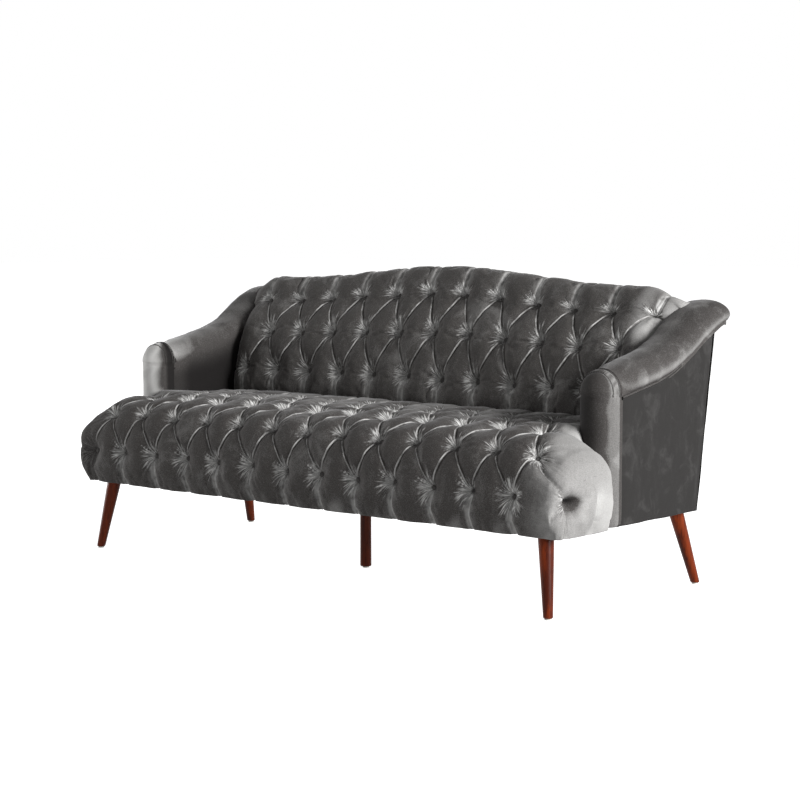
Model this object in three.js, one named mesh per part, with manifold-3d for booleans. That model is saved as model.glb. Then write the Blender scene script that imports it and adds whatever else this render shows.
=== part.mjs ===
// A diamond tufted velvet settee with a camel back, scroll arms and splayed tapered legs.
// Millimetres, +Z up, +X to the right of a person who faces it, +Y to its back.
// The origin lies on the floor under the middle of the settee.
import * as THREE from "three";
import { mergeVertices } from "three/addons/utils/BufferGeometryUtils.js";
import Module from "manifold-3d";

const wasm = await Module();
wasm.setup();

// Driving dimensions of the whole.
const seatGap = 0.3; // clearance between two pieces that touch
const overrun = 20; // how far a cutter runs past what it cuts
const overallDepth = 756; // from the seat's front to the scrolls at the back
const seatHalfWidth = 893; // the seat's ears stand in front of the arms
const undersideHeight = 206; // lowest edge of the upholstery
const seatThickness = 270;
const armAboveSeat = 130; // at the arm's front
const armRise = 162; // how much higher the arm is at the back
const backAboveSeat = 364; // at the crown of the camel back
const camelDrop = 42; // how much lower its shoulders are
const camelHalfSpan = 620;
const leanShare = 0.163; // how far the back goes to the rear for each unit of height
const scrollReach = 110; // how far the arms' scrolls reach behind the foot of the back
const backFootDepth = 143; // from the seat's rear edge to the foot of the back
const earDepth = 280; // from the seat's front to where the round front of an arm starts
const earOverhang = 16; // how far the ears reach past the arms
const armThickness = 113;
const backLowDrop = 30; // the back's lower edge lies this far under the seat's crown
const panelRise = 16; // the outside panels end this far above the seat's lower edge

// What follows from them.
const seatHeight = undersideHeight + seatThickness;
const backHeight = seatHeight + backAboveSeat;
const backLowEdge = seatHeight - backLowDrop;
const armFrontHeight = seatHeight + armAboveSeat;
const armRearHeight = armFrontHeight + armRise;
const armOuterX = seatHalfWidth - earOverhang;
const armInnerX = armOuterX - armThickness;
const columnRadius = armThickness / 2;
const seatFrontY = -overallDepth / 2;
const armFrontY = seatFrontY + earDepth;
const rollRearY = overallDepth / 2;
const leanFootY = rollRearY - scrollReach;
const leanFootHeight = undersideHeight + panelRise;
const seatRearY = leanFootY - backFootDepth;

// Tufting.
const seatTuftColumns = 14; // buttons in the seat's front row
const backTuftColumns = 12;
const tuftMargin = 113; // from the seat's end to the last button of its second row
const tuftPitch = (2 * (seatHalfWidth - tuftMargin)) / (seatTuftColumns - 2);
const seatTuftDepth = 30;
const backTuftDepth = 31;
const foldShare = 0.48; // depth of a fold, of the depth of a button
const flankShare = 0.07;
const pleatShares = [0.42, 0.2]; // the pleats that run on past the outer rows
const earDepthShare = 0.72; // the corner buttons are drawn in less

// Frame timber.
const railThickness = 28;
const railHeight = 90;
const frontPadding = 48; // upholstery in front of the frame
const endWall = 45; // and beside its ends
const frameClearance = 3;
const frontWall = frontPadding - 2 * frameClearance;
const frontWallLean = 8; // how much thicker the front's padding is at the foam's edge
const hemDepth = 4; // the cover's hem hangs this far under the frame
const blockSize = 80;
const blockChamfer = 14;
const centreRailWidth = 44;
const postDepth = 44;
const postForwardShare = 0.33; // of an arm post's depth, in front of where the round front starts
const boardDepth = 21.7; // the back's boards lie in two layers
const armRailHeight = 40;
const uprightWidth = 44;
const uprightInset = 52;
const lowerRailHeight = 54;
const topRailHeight = 29; // at the shoulders
const frameUnderside = undersideHeight + hemDepth;
const frameTop = frameUnderside + railHeight;
const frameFrontY = seatFrontY + frontPadding;
const frameHalfWidth = seatHalfWidth - endWall - frameClearance;

// Legs and what holds them.
const glideHeight = 4;
const glideRadius = 9;
const footRadius = 12.5;
const legTopRadius = 21;
const centreLegRadius = 16;
const plateSize = 50;
const plateThickness = 2.4;
const boltRadius = 4;
const boltInLeg = 24;
const boltInFrame = 46;
const frontLegInset = [44, 21]; // from the frame's corner to the leg's top
const frontSplay = [31, 31]; // from there to the foot
const rearLegInset = [29, 12];
const rearSplay = [30, 57];
const centreLegForward = 47;
const frontLegTop = [frameHalfWidth - frontLegInset[0], frameFrontY + frontLegInset[1]];
const frontFoot = [frontLegTop[0] + frontSplay[0], frontLegTop[1] - frontSplay[1]];
const rearLegTop = [frameHalfWidth - rearLegInset[0], leanFootY - rearLegInset[1]];
const rearFoot = [rearLegTop[0] + rearSplay[0], rearLegTop[1] + rearSplay[1]];
const centreFoot = [0, (frameFrontY + leanFootY) / 2 - centreLegForward];
const roundSides = 20;
const boltSides = 10;

// Suspension and linings.
const strapWidth = 50;
const strapThickness = 2;
const strapSpacing = 430;
const deckThickness = 1;
const liningThickness = 0.8;
const liningInset = 14;

// Arm upholstery.
const padThickness = 33.7;
const panelThickness = 8;
const rollThickness = 67;
const rollInnerReach = 7; // how far the roll reaches past the arm on the inside
const rollOuterReach = 20; // and on the outside
const rollFlare = 14; // how much wider the roll is at its rear scroll
const capReach = 60;
const weltRadius = 3.4;
const weltSides = 8;
const backPanelDrop = 45; // the outside back ends this far under the top edge
const backEndRound = 26;
const rollInnerX = armInnerX - rollInnerReach;
const rollOuterX = armOuterX + rollOuterReach;
const armBoardX = [armInnerX + padThickness + seatGap, armOuterX - panelThickness - seatGap];

const rearPlaneY = (z) => leanFootY + leanShare * (z - leanFootHeight);
const camelFall = (x) => {
  const reach = Math.min(Math.abs(x) / camelHalfSpan, 1);
  return (camelDrop * (1 - Math.cos(Math.PI * reach))) / 2;
};

// The arm's top line: share of the way back, share of the rise, share of the roll's thickness.
const armLineShares = [
  [0, 0, 1],
  [0.16, 0.086, 1],
  [0.34, 0.2, 1.04],
  [0.48, 0.315, 1.02],
  [0.6, 0.457, 0.98],
  [0.717, 0.673, 1],
  [0.815, 0.852, 0.98],
  [0.9, 0.951, 0.9],
  [0.975, 1, 0.8],
  [1, 1, 0.78],
];
const armRun = rollRearY - armFrontY;
const armLine = armLineShares.map(([runShare, riseShare, thickShare]) => ({
  y: armFrontY + runShare * armRun,
  top: armFrontHeight + riseShare * armRise,
  low: armFrontHeight + riseShare * armRise - thickShare * rollThickness,
}));

// Height of the roll's lower edge at a distance to the rear.
function rollLow(y) {
  if (y <= armLine[0].y) return armLine[0].low;
  const next = armLine.findIndex((point) => point.y >= y);
  if (next < 0) return armLine[armLine.length - 1].low;
  const a = armLine[next - 1];
  const b = armLine[next];
  return a.low + ((b.low - a.low) * (y - a.y)) / (b.y - a.y);
}

// Where a line under the roll meets a plane that lies a distance in front of the back's.
function underRollAtBack(forward, drop = 0) {
  let z = armRearHeight - rollThickness;
  for (let pass = 0; pass < roundSides; pass += 1) z = rollLow(rearPlaneY(z) - forward) - drop;
  return z;
}

// Signed volume of a triangle mesh, to turn it right way out.
function signedVolume(points, faces) {
  let sum = 0;
  for (const [a, b, c] of faces) {
    const [p, q, r] = [points[a], points[b], points[c]];
    sum += p[0] * (q[1] * r[2] - q[2] * r[1]);
    sum -= p[1] * (q[0] * r[2] - q[2] * r[0]);
    sum += p[2] * (q[0] * r[1] - q[1] * r[0]);
  }
  return sum;
}

function closedGeometry(points, faces) {
  const turned = signedVolume(points, faces) < 0;
  const index = faces.flatMap(([a, b, c]) => (turned ? [a, c, b] : [a, b, c]));
  const geometry = new THREE.BufferGeometry();
  geometry.setAttribute("position", new THREE.Float32BufferAttribute(points.flat(), 3));
  geometry.setIndex(index);
  return geometry;
}

// A skin over rings of points that have one count, closed at both ends.
// The last argument says which diagonal a quad takes.
function loft(rings, otherDiagonal = () => false) {
  const count = rings[0].length;
  const points = rings.flat();
  const faces = [];
  for (let i = 0; i + 1 < rings.length; i += 1) {
    for (let j = 0; j < count; j += 1) {
      const k = (j + 1) % count;
      const [a, b, c, d] = [i * count + j, (i + 1) * count + j, (i + 1) * count + k, i * count + k];
      if (otherDiagonal(i, j)) faces.push([a, b, d], [b, c, d]);
      else faces.push([a, b, c], [a, c, d]);
    }
  }
  for (const [ring, start, flip] of [
    [rings[0], 0, true],
    [rings[rings.length - 1], (rings.length - 1) * count, false],
  ]) {
    const flat = ring.map((p) => endCoordinates(ring, p));
    for (const [a, b, c] of THREE.ShapeUtils.triangulateShape(flat, [])) {
      const face = [start + a, start + b, start + c];
      faces.push(flip ? [face[0], face[2], face[1]] : face);
    }
  }
  return closedGeometry(points, orientCaps(points, faces));
}

// A ring seen along the axis in which it is thinnest.
function endCoordinates(ring, point) {
  const spans = [0, 1, 2].map((axis) => {
    const values = ring.map((p) => p[axis]);
    return Math.max(...values) - Math.min(...values);
  });
  const thin = spans.indexOf(Math.min(...spans));
  const [u, v] = [0, 1, 2].filter((axis) => axis !== thin);
  return new THREE.Vector2(point[u], point[v]);
}

// Turns faces so that two that share an edge run along it in opposite directions.
function orientCaps(points, faces) {
  const edges = new Map();
  faces.forEach((face, at) => {
    for (let i = 0; i < 3; i += 1) {
      const pair = [face[i], face[(i + 1) % 3]];
      const key = Math.min(...pair) + "_" + Math.max(...pair);
      if (!edges.has(key)) edges.set(key, []);
      edges.get(key).push(at);
    }
  });
  const seen = new Set([0]);
  const queue = [0];
  const runs = (face, a, b) => [0, 1, 2].some((i) => face[i] === a && face[(i + 1) % 3] === b);
  while (queue.length) {
    const at = queue.pop();
    const face = faces[at];
    for (let i = 0; i < 3; i += 1) {
      const [a, b] = [face[i], face[(i + 1) % 3]];
      for (const near of edges.get(Math.min(a, b) + "_" + Math.max(a, b))) {
        if (seen.has(near)) continue;
        if (runs(faces[near], a, b)) faces[near] = [faces[near][0], faces[near][2], faces[near][1]];
        seen.add(near);
        queue.push(near);
      }
    }
  }
  return faces;
}

function box(x0, x1, y0, y1, z0, z1) {
  const geometry = new THREE.BoxGeometry(x1 - x0, y1 - y0, z1 - z0);
  return geometry.translate((x0 + x1) / 2, (y0 + y1) / 2, (z0 + z1) / 2);
}

// A board that leans with the back, placed by its distance in front of the back's rear plane.
function leanBoard(x0, x1, forwardFront, forwardRear, z0, z1) {
  const ring = (x) => [
    [x, rearPlaneY(z0) - forwardFront, z0],
    [x, rearPlaneY(z0) - forwardRear, z0],
    [x, rearPlaneY(z1) - forwardRear, z1],
    [x, rearPlaneY(z1) - forwardFront, z1],
  ];
  return loft([ring(x0), ring(x1)]);
}

// An outline in the Y and Z plane, extruded along X.
function sidePrism(outline, x0, x1) {
  return loft([x0, x1].map((x) => outline.map(([y, z]) => [x, y, z])));
}

// An outline in the X and Y plane, extruded upwards.
function planPrism(outline, z0, z1) {
  return loft([z0, z1].map((z) => outline.map(([x, y]) => [x, y, z])));
}

function rod(radiusTop, radiusFoot, [topX, topY], [footX, footY], z0, z1, sides) {
  const ring = (radius, x, y, z) =>
    Array.from({ length: sides }, (_, i) => {
      const angle = (2 * Math.PI * i) / sides;
      return [x + radius * Math.cos(angle), y + radius * Math.sin(angle), z];
    });
  return loft([ring(radiusFoot, footX, footY, z0), ring(radiusTop, topX, topY, z1)]);
}

// Geometry to a solid for a cut, and back.
function solid(geometry) {
  const bare = geometry.clone();
  bare.deleteAttribute("normal");
  bare.deleteAttribute("uv");
  const merged = mergeVertices(bare);
  const vertProperties = new Float32Array(merged.attributes.position.array);
  const triVerts = new Uint32Array(merged.index.array);
  return new wasm.Manifold(new wasm.Mesh({ numProp: 3, vertProperties, triVerts }));
}

function fromSolid(made) {
  const mesh = made.getMesh();
  const geometry = new THREE.BufferGeometry();
  geometry.setAttribute("position", new THREE.BufferAttribute(new Float32Array(mesh.vertProperties), 3));
  geometry.setIndex(new THREE.BufferAttribute(new Uint32Array(mesh.triVerts), 1));
  return geometry;
}

function cut(geometry, ...cutters) {
  let left = solid(geometry);
  for (const cutter of cutters) left = left.subtract(solid(cutter));
  return fromSolid(left);
}

function mirrorGeometry(geometry) {
  const other = geometry.clone().scale(-1, 1, 1);
  const index = other.index.array;
  for (let i = 0; i < index.length; i += 3) [index[i + 1], index[i + 2]] = [index[i + 2], index[i + 1]];
  return other;
}

const settee = new THREE.Group();
const finishes = {
  velvet: { color: 0x55524f, roughness: 0.75, metalness: 0 },
  lining: { color: 0x1c1b1b, roughness: 0.95, metalness: 0 },
  mahogany: { color: 0x5a2415, roughness: 0.28, metalness: 0 },
  beech: { color: 0xb98d5c, roughness: 0.7, metalness: 0 },
  foam: { color: 0xd8cfae, roughness: 0.95, metalness: 0 },
  webbing: { color: 0x8b7650, roughness: 0.9, metalness: 0 },
  steel: { color: 0x9a9a98, roughness: 0.35, metalness: 1 },
  nylon: { color: 0xcfcac0, roughness: 0.5, metalness: 0 },
};

function add(name, finish, geometry, side = 1) {
  const mesh = new THREE.Mesh(geometry, new THREE.MeshStandardMaterial(finishes[finish]));
  mesh.name = name;
  mesh.scale.x = side;
  settee.add(mesh);
}

function addPair(name, finish, geometry) {
  add(name + "_right", finish, geometry);
  add(name + "_left", finish, geometry.clone(), -1);
}

// How deep the cover is drawn in at a point of the tufting lattice, as a share of a button's depth.
// Columns count in quarters of the pitch from the middle, rows in halves of the row spacing.
function tuftShare(column, row, lastRow) {
  const evenRow = (r) => (r / 2) % 2 === 0;
  const isButton = (c, r) => Math.abs(c) % 4 === (evenRow(r) ? 2 : 0);
  if (row < 0 || row > lastRow) {
    const edgeRow = row < 0 ? 0 : lastRow;
    const away = Math.abs(row - edgeRow) - 1;
    return isButton(column, edgeRow) ? (pleatShares[away] ?? 0) : 0;
  }
  const oddColumn = Math.abs(column) % 2 === 1;
  const oddRow = row % 2 === 1;
  if (oddColumn && oddRow) return foldShare;
  if (oddColumn || oddRow) return flankShare;
  return isButton(column, row) ? 1 : 0;
}

// True where a quad's fold runs from its second corner to its fourth.
function foldRunsBack(column, row, lastRow) {
  const deep = (c, r) => tuftShare(c, r, lastRow);
  const along = deep(column, row) + deep(column + 1, row + 1);
  const across = deep(column + 1, row) + deep(column, row + 1);
  return across > along;
}

// The seat's section from its lower front edge over the crown to the rear:
// shares of the depth and of the height, with a row of buttons at every second point from the third.
const seatLineShares = [
  [0.036, 0],
  [0.006, 0.16],
  [0, 0.335],
  [0.032, 0.614],
  [0.111, 0.818],
  [0.225, 0.93],
  [0.362, 0.985],
  [0.463, 0.998],
  [0.563, 1],
  [0.666, 0.993],
  [0.767, 0.978],
  [0.88, 0.956],
  [0.978, 0.925],
];
const seatButtonRow = 2;
const seatLastRow = 8;
const seatDepth = seatRearY - seatFrontY;
const seatLine = seatLineShares.map(([depthShare, riseShare]) => [
  seatFrontY + depthShare * seatDepth,
  undersideHeight + riseShare * seatThickness,
]);
const rearTuck = 28; // how far the cover goes down behind the seat
const earRound = 95; // radius of the seat's ends
const earTuckShares = [0.3, 0.12]; // the ends draw in towards the lower edge
const earRoundShares = [0.35, 0.72]; // and are less round there
const earAngleShares = [0.23, 0.5, 0.74, 1]; // stations round an end, of a quarter turn

// Outward direction of a section at one of its points, level at the lower edge.
function outward(line, at) {
  const before = line[Math.max(at - 1, 0)];
  const after = line[Math.min(at + 1, line.length - 1)];
  const run = [after[0] - before[0], after[1] - before[1]];
  const size = Math.hypot(...run);
  if (at === 0) return [-1, 0];
  return [-run[1] / size, run[0] / size];
}

// A station across the seat: quarter pitches in the flat middle, angles round the ends.
function seatStation(column) {
  const lastFlat = 2 * (seatTuftColumns - 2);
  const over = Math.abs(column) - lastFlat;
  if (over <= 0) return { x: (column * tuftPitch) / 4, angle: 0 };
  return { x: Math.sign(column) * (seatHalfWidth - earRound), angle: (earAngleShares[over - 1] * Math.PI) / 2 };
}

function seatRing(column, closing) {
  const { x, angle } = seatStation(column);
  const front = seatLine.map(([y, z], at) => {
    const [outY, outZ] = outward(seatLine, at);
    const tuck = earTuckShares[at] ?? 0;
    const roundness = earRoundShares[at] ?? 1;
    const drawn = tuftShare(column, at - seatButtonRow, seatLastRow);
    const depth = drawn * seatTuftDepth * (angle > 0 ? earDepthShare : 1);
    const inset = roundness * earRound * (1 - Math.cos(angle)) + depth * Math.cos(angle);
    const reach = earRound * Math.sin(angle) * (1 - tuck) - depth * Math.sin(angle);
    return [x + Math.sign(x) * reach, y - outY * inset, z - outZ * inset];
  });
  return [...front, ...closing.map(([y, z]) => [front[0][0], y, z])];
}

// The half round front of an arm, seen from above, right side.
function columnArc(clearance) {
  const radius = columnRadius + clearance;
  const centreX = (armInnerX + armOuterX) / 2;
  return Array.from({ length: roundSides + 1 }, (_, i) => {
    const angle = Math.PI + (Math.PI * i) / roundSides;
    return [centreX + radius * Math.cos(angle), armFrontY + radius * Math.sin(angle)];
  });
}

// The room that the arms take out of the seat, seen from above, right side.
function armRoom(clearance) {
  const arc = columnArc(clearance);
  const behindFront = armFrontY - columnRadius / 2;
  const last = arc.findIndex(([x, y]) => x > (armInnerX + armOuterX) / 2 && y > behindFront);
  return [
    ...arc.slice(0, last),
    [seatHalfWidth + overrun, arc[last][1]],
    [seatHalfWidth + overrun, seatRearY + overrun],
    [arc[0][0], seatRearY + overrun],
  ];
}

const mirrored = (outline) => outline.map(([x, y]) => [-x, y]);

// The room for foam and frame inside the seat's cover:
// distance behind the front, share of the depth, share of the height.
const cavityPoints = [
  [frontWall, 0, 0.35],
  [frontWall + frontWallLean, 0, 0.59],
  [0, 0.171, 0.711],
  [0, 0.274, 0.807],
  [0, 0.362, 0.837],
  [0, 0.563, 0.852],
  [0, 0.767, 0.844],
  [0, 0.95, 0.83],
];
const cavityRound = 16;

function seatCavity(inset, behind, below) {
  const line = cavityPoints.map(([wall, depthShare, riseShare]) => [
    seatFrontY + wall + depthShare * seatDepth + inset,
    undersideHeight + riseShare * seatThickness - inset,
  ]);
  const halfWidth = seatHalfWidth - endWall - inset;
  const ring = (x, drawn) => {
    const points = line.map(([y, z]) => [x, Math.min(y + drawn, seatRearY), z - drawn]);
    const [, frontY] = points[0];
    const [, , rearZ] = points[points.length - 1];
    return [[x, frontY, below], ...points, [x, behind, rearZ], [x, behind, below]];
  };
  return loft([
    ring(-halfWidth, cavityRound),
    ring(cavityRound - halfWidth, 0),
    ring(halfWidth - cavityRound, 0),
    ring(halfWidth, cavityRound),
  ]);
}

function makeSeat() {
  const lastColumn = 2 * (seatTuftColumns - 2) + earAngleShares.length;
  const closing = [
    [seatRearY - seatGap, seatLine[seatLine.length - 1][1] - rearTuck],
    [seatRearY - seatGap, undersideHeight],
  ];
  const rings = [];
  for (let column = -lastColumn; column <= lastColumn; column += 1) rings.push(seatRing(column, closing));
  const body = loft(rings, (i, j) => foldRunsBack(i - lastColumn, j - seatButtonRow, seatLastRow));
  const arms = [armRoom(seatGap), mirrored(armRoom(seatGap))].map((outline) =>
    planPrism(outline, undersideHeight - overrun, seatHeight + overrun),
  );
  const room = seatCavity(0, seatRearY + overrun, undersideHeight - overrun);
  add("seat_cover", "velvet", cut(body, room, ...arms));

  const deckTop = frameTop + seatGap + strapThickness + seatGap + deckThickness;
  const foam = seatCavity(seatGap, seatRearY - seatGap, undersideHeight);
  const frameRoom = box(
    -seatHalfWidth,
    seatHalfWidth,
    seatFrontY,
    seatRearY + overrun,
    undersideHeight - overrun,
    deckTop + seatGap,
  );
  add("seat_foam", "foam", cut(foam, frameRoom, ...arms));
}

function makeSeatFrame() {
  const frameRearY = leanFootY;
  const inner = frameHalfWidth - blockSize;
  const high = [frameUnderside, frameTop];
  const beam = inner - seatGap;
  add("seat_front_rail", "beech", box(-beam, beam, frameFrontY, frameFrontY + railThickness, ...high));
  add("seat_rear_rail", "beech", box(-beam, beam, frameRearY - railThickness, frameRearY, ...high));
  const railX = [frameHalfWidth - railThickness, frameHalfWidth];
  const railY = [frameFrontY + blockSize + seatGap, frameRearY - blockSize - seatGap];
  addPair("seat_side_rail", "beech", box(...railX, ...railY, ...high));
  const centreY = [frameFrontY + railThickness + seatGap, frameRearY - railThickness - seatGap];
  const centre = box(-centreRailWidth / 2, centreRailWidth / 2, ...centreY, ...high);
  add("seat_centre_rail", "beech", cut(centre, boltHole(centreFoot)));
  for (const [place, outerY, innerY, bolt] of [
    ["front", frameFrontY, frameFrontY + blockSize, frontLegTop],
    ["rear", frameRearY, frameRearY - blockSize, rearLegTop],
  ]) {
    const chamferY = outerY + Math.sign(innerY - outerY) * blockChamfer;
    const outline = [
      [inner, outerY],
      [frameHalfWidth - blockChamfer, outerY],
      [frameHalfWidth, chamferY],
      [frameHalfWidth, innerY],
      [inner, innerY],
    ];
    addPair("corner_block_" + place, "beech", cut(planPrism(outline, ...high), boltHole(bolt)));
  }
}

function boltHole([x, y]) {
  const radius = boltRadius + seatGap;
  const top = frameUnderside + boltInFrame + seatGap;
  return rod(radius, radius, [x, y], [x, y], undersideHeight - boltInLeg - overrun, top, boltSides);
}

function makeLegs() {
  const plateTop = frameUnderside - seatGap;
  const plateBottom = plateTop - plateThickness;
  const legTop = plateBottom - seatGap;
  const legFoot = glideHeight + seatGap;
  const legBoltFoot = legTop - boltInLeg;
  const place = (name, top, foot, topRadius, bottomRadius) => {
    const mirrorable = top[0] > 0;
    const put = mirrorable ? addPair : add;
    const plate = box(
      top[0] - plateSize / 2,
      top[0] + plateSize / 2,
      top[1] - plateSize / 2,
      top[1] + plateSize / 2,
      plateBottom,
      plateTop,
    );
    const bore = rod(
      boltRadius + seatGap,
      boltRadius + seatGap,
      top,
      top,
      legBoltFoot - seatGap,
      plateTop + overrun,
      boltSides,
    );
    const leg = rod(topRadius, bottomRadius, top, foot, legFoot, legTop, roundSides);
    const bolt = rod(
      boltRadius,
      boltRadius,
      top,
      top,
      legBoltFoot,
      frameUnderside + boltInFrame,
      boltSides,
    );
    put("leg_" + name, "mahogany", cut(leg, bore));
    put("leg_plate_" + name, "steel", cut(plate, bore));
    put("hanger_bolt_" + name, "steel", bolt);
    put("leg_glide_" + name, "nylon", rod(glideRadius, glideRadius, foot, foot, 0, glideHeight, roundSides));
  };
  place("front", frontLegTop, frontFoot, legTopRadius, footRadius);
  place("rear", rearLegTop, rearFoot, legTopRadius, footRadius);
  place("centre", centreFoot, centreFoot, centreLegRadius, centreLegRadius);
}

function makeSuspension() {
  const low = frameTop + seatGap;
  const front = frameFrontY;
  const rear = leanFootY - seatGap;
  for (const [name, x] of [
    ["left", -strapSpacing],
    ["centre", 0],
    ["right", strapSpacing],
  ]) {
    const strap = box(x - strapWidth / 2, x + strapWidth / 2, front, rear, low, low + strapThickness);
    add("seat_strap_" + name, "webbing", strap);
  }
  const deckLow = low + strapThickness + seatGap;
  const deckRear = rearPlaneY(frameTop) - postDepth - seatGap;
  const half = armInnerX - seatGap;
  add("deck_cloth", "webbing", box(-half, half, front, deckRear - seatGap, deckLow, deckLow + deckThickness));
  const liningTop = frameUnderside - seatGap;
  const lining = box(
    liningInset - frameHalfWidth,
    frameHalfWidth - liningInset,
    frameFrontY + liningInset,
    leanFootY - liningInset,
    liningTop - liningThickness,
    liningTop,
  );
  const clear = plateSize / 2 + seatGap;
  const tops = [frontLegTop, rearLegTop].flatMap(([x, y]) => [
    [x, y],
    [-x, y],
  ]);
  const holes = [...tops, centreFoot].map(([x, y]) =>
    box(x - clear, x + clear, y - clear, y + clear, liningTop - overrun, liningTop + overrun),
  );
  const columns = [columnArc(seatGap), mirrored(columnArc(seatGap))].map((outline) =>
    planPrism(outline, liningTop - overrun, liningTop + overrun),
  );
  add("dust_cover", "lining", cut(lining, ...holes, ...columns));
}

// The back's section from its lower front edge over the top to the rear:
// distance in front of the back's rear plane, height, share of the camel's fall.
const backFront = 181;
const backLineShares = [
  [1, 0, 0],
  [1.03, 0.102, 0],
  [1.02, 0.213, 0],
  [0.98, 0.36, 0.05],
  [0.9, 0.513, 0.15],
  [0.79, 0.64, 0.3],
  [0.63, 0.767, 0.5],
  [0.565, 0.868, 0.8],
  [0.4, 0.985, 1],
  [0.27, 1, 1],
  [0.1, 0.977, 1],
  [-0.02, 0.93, 1],
];
const backButtonRow = 2;
const backLastRow = 4;
const backRise = backHeight - backLowEdge;
const backLine = backLineShares.map(([forwardShare, riseShare, fallShare]) => {
  const z = backLowEdge + riseShare * backRise;
  return { forward: forwardShare * backFront, z, fallShare };
});
const wingShares = [0, 0, 0, 0, 0, 0.1, 0.35, 0.8, 1, 1, 1, 1]; // how far each point joins the corners' spread
const backRoundShares = [1, 1, 1, 1, 1, 1, 1, 1, 0.9, 0.5, 0.2, 0]; // how far its ends are rounded
const backEndShares = [[1, 0], [0.33, 0.25], [0, 1]]; // of the ends' rounding, inwards and back
const wingSpread = 32;
const wingRun = 164;

function backRing(column, x, round) {
  const wing = Math.max(0, (Math.abs(x) - armInnerX) / wingRun + 1);
  const plain = backLine.map(({ forward, z, fallShare }) => {
    const height = z - fallShare * camelFall(x);
    return [rearPlaneY(height) - forward, height];
  });
  const front = plain.map(([y, z], at) => {
    const [outY, outZ] = at === 0 ? [-1, 0] : outward(plain, at);
    const drawn = tuftShare(column, at - backButtonRow, backLastRow) * backTuftDepth;
    const depth = drawn + round * backRoundShares[at];
    const spread = Math.sign(x) * wing * wing * wingSpread * wingShares[at];
    return [x + spread, y - outY * depth, z - outZ * depth];
  });
  const top = backHeight - backPanelDrop - camelFall(x) + seatGap;
  const rear = -seatGap;
  return [
    ...front,
    [front[front.length - 1][0], rearPlaneY(top) + panelThickness, top],
    [front[front.length - 1][0], rearPlaneY(top) + rear, top],
    [x, rearPlaneY(backLowEdge) + rear, backLowEdge],
  ];
}

// The room for foam and boards inside the back's cover: forward of the rear plane, height, fall.
const backRoomShares = [
  [0.72, 0],
  [0.68, 0.213],
  [0.62, 0.49],
  [0.36, 0.74],
  [0.28, 0.8],
];
const backRoomFall = [0, 0, 0.15, 0.6, 1];
const backEndWall = 24;
const backRoomTop = (x) => backLowEdge + backRoomShares[backRoomShares.length - 1][1] * backRise - camelFall(x);

function backRoom(inset, rearForward, bottom) {
  const half = armInnerX - backEndWall - inset;
  const steps = roundSides;
  const rings = [];
  for (let i = 0; i <= steps; i += 1) {
    const x = half * ((2 * i) / steps - 1);
    const line = backRoomShares.map(([forwardShare, riseShare], at) => {
      const z = backLowEdge + riseShare * backRise - backRoomFall[at] * camelFall(x) - inset;
      return [x, rearPlaneY(z) - forwardShare * backFront + inset, z];
    });
    line[0][2] = bottom;
    line[0][1] = rearPlaneY(backLowEdge) - backRoomShares[0][0] * backFront + inset;
    const top = line[line.length - 1][2];
    rings.push([...line, [x, rearPlaneY(top) - rearForward, top], [x, rearPlaneY(bottom) - rearForward, bottom]]);
  }
  return loft(rings);
}

function makeBack(armRooms) {
  const rings = [];
  const last = 2 * (backTuftColumns - 1);
  const halfWidth = armInnerX - seatGap;
  const ends = backEndShares.map(([inShare, roundShare]) => [
    halfWidth - inShare * backEndRound,
    roundShare * backEndRound,
  ]);
  for (const [x, round] of [...ends].reverse()) rings.push(backRing(last + 1, -x, round));
  for (let column = -last; column <= last; column += 1) rings.push(backRing(column, (column * tuftPitch) / 4, 0));
  for (const [x, round] of ends) rings.push(backRing(last + 1, x, round));
  const body = loft(rings, (i, j) =>
    foldRunsBack(i - last - ends.length, j - backButtonRow, backLastRow),
  );
  const room = backRoom(0, -overrun, backLowEdge - overrun);
  const railTop = backLowEdge + lowerRailHeight + seatGap;
  const railRoom = leanBoard(-armOuterX, armOuterX, boardDepth + seatGap, -overrun, backLowEdge - overrun, railTop);
  add("back_cover", "velvet", cut(body, room, railRoom, ...armRooms));
  const boards = postDepth + seatGap;
  const foam = backRoom(seatGap, boards, backLowEdge - overrun);
  const belowFoam = box(
    -armOuterX,
    armOuterX,
    seatFrontY,
    rollRearY,
    backLowEdge - overrun * 2,
    backLowEdge + seatGap,
  );
  add("back_foam", "foam", cut(foam, belowFoam));
}

function makeBackFrame() {
  const rearLayer = [boardDepth, seatGap];
  const frontLayer = [postDepth, boardDepth + seatGap];
  const span = armBoardX[0] - seatGap;
  const lowTop = backLowEdge + lowerRailHeight;
  add("back_lower_rail", "beech", leanBoard(-span, span, ...rearLayer, backLowEdge, lowTop));

  const topRailHalf = armInnerX - backEndWall - seatGap;
  const topRailBottom = backRoomTop(armInnerX) - topRailHeight;
  const steps = roundSides;
  const rings = [];
  for (let i = 0; i <= steps; i += 1) {
    const x = topRailHalf * ((2 * i) / steps - 1);
    const top = backRoomTop(x) - seatGap * 2;
    rings.push([
      [x, rearPlaneY(topRailBottom) - rearLayer[0], topRailBottom],
      [x, rearPlaneY(topRailBottom) - rearLayer[1], topRailBottom],
      [x, rearPlaneY(top) - rearLayer[1], top],
      [x, rearPlaneY(top) - rearLayer[0], top],
    ]);
  }
  add("back_top_rail", "beech", loft(rings));

  const uprightX = armInnerX - uprightInset;
  const upright = [uprightX - uprightWidth / 2, uprightX + uprightWidth / 2];
  const uprightTop = backRoomTop(armInnerX) - seatGap * 2;
  addPair("back_upright", "beech", leanBoard(...upright, ...frontLayer, frameTop + seatGap, uprightTop));
}

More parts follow.
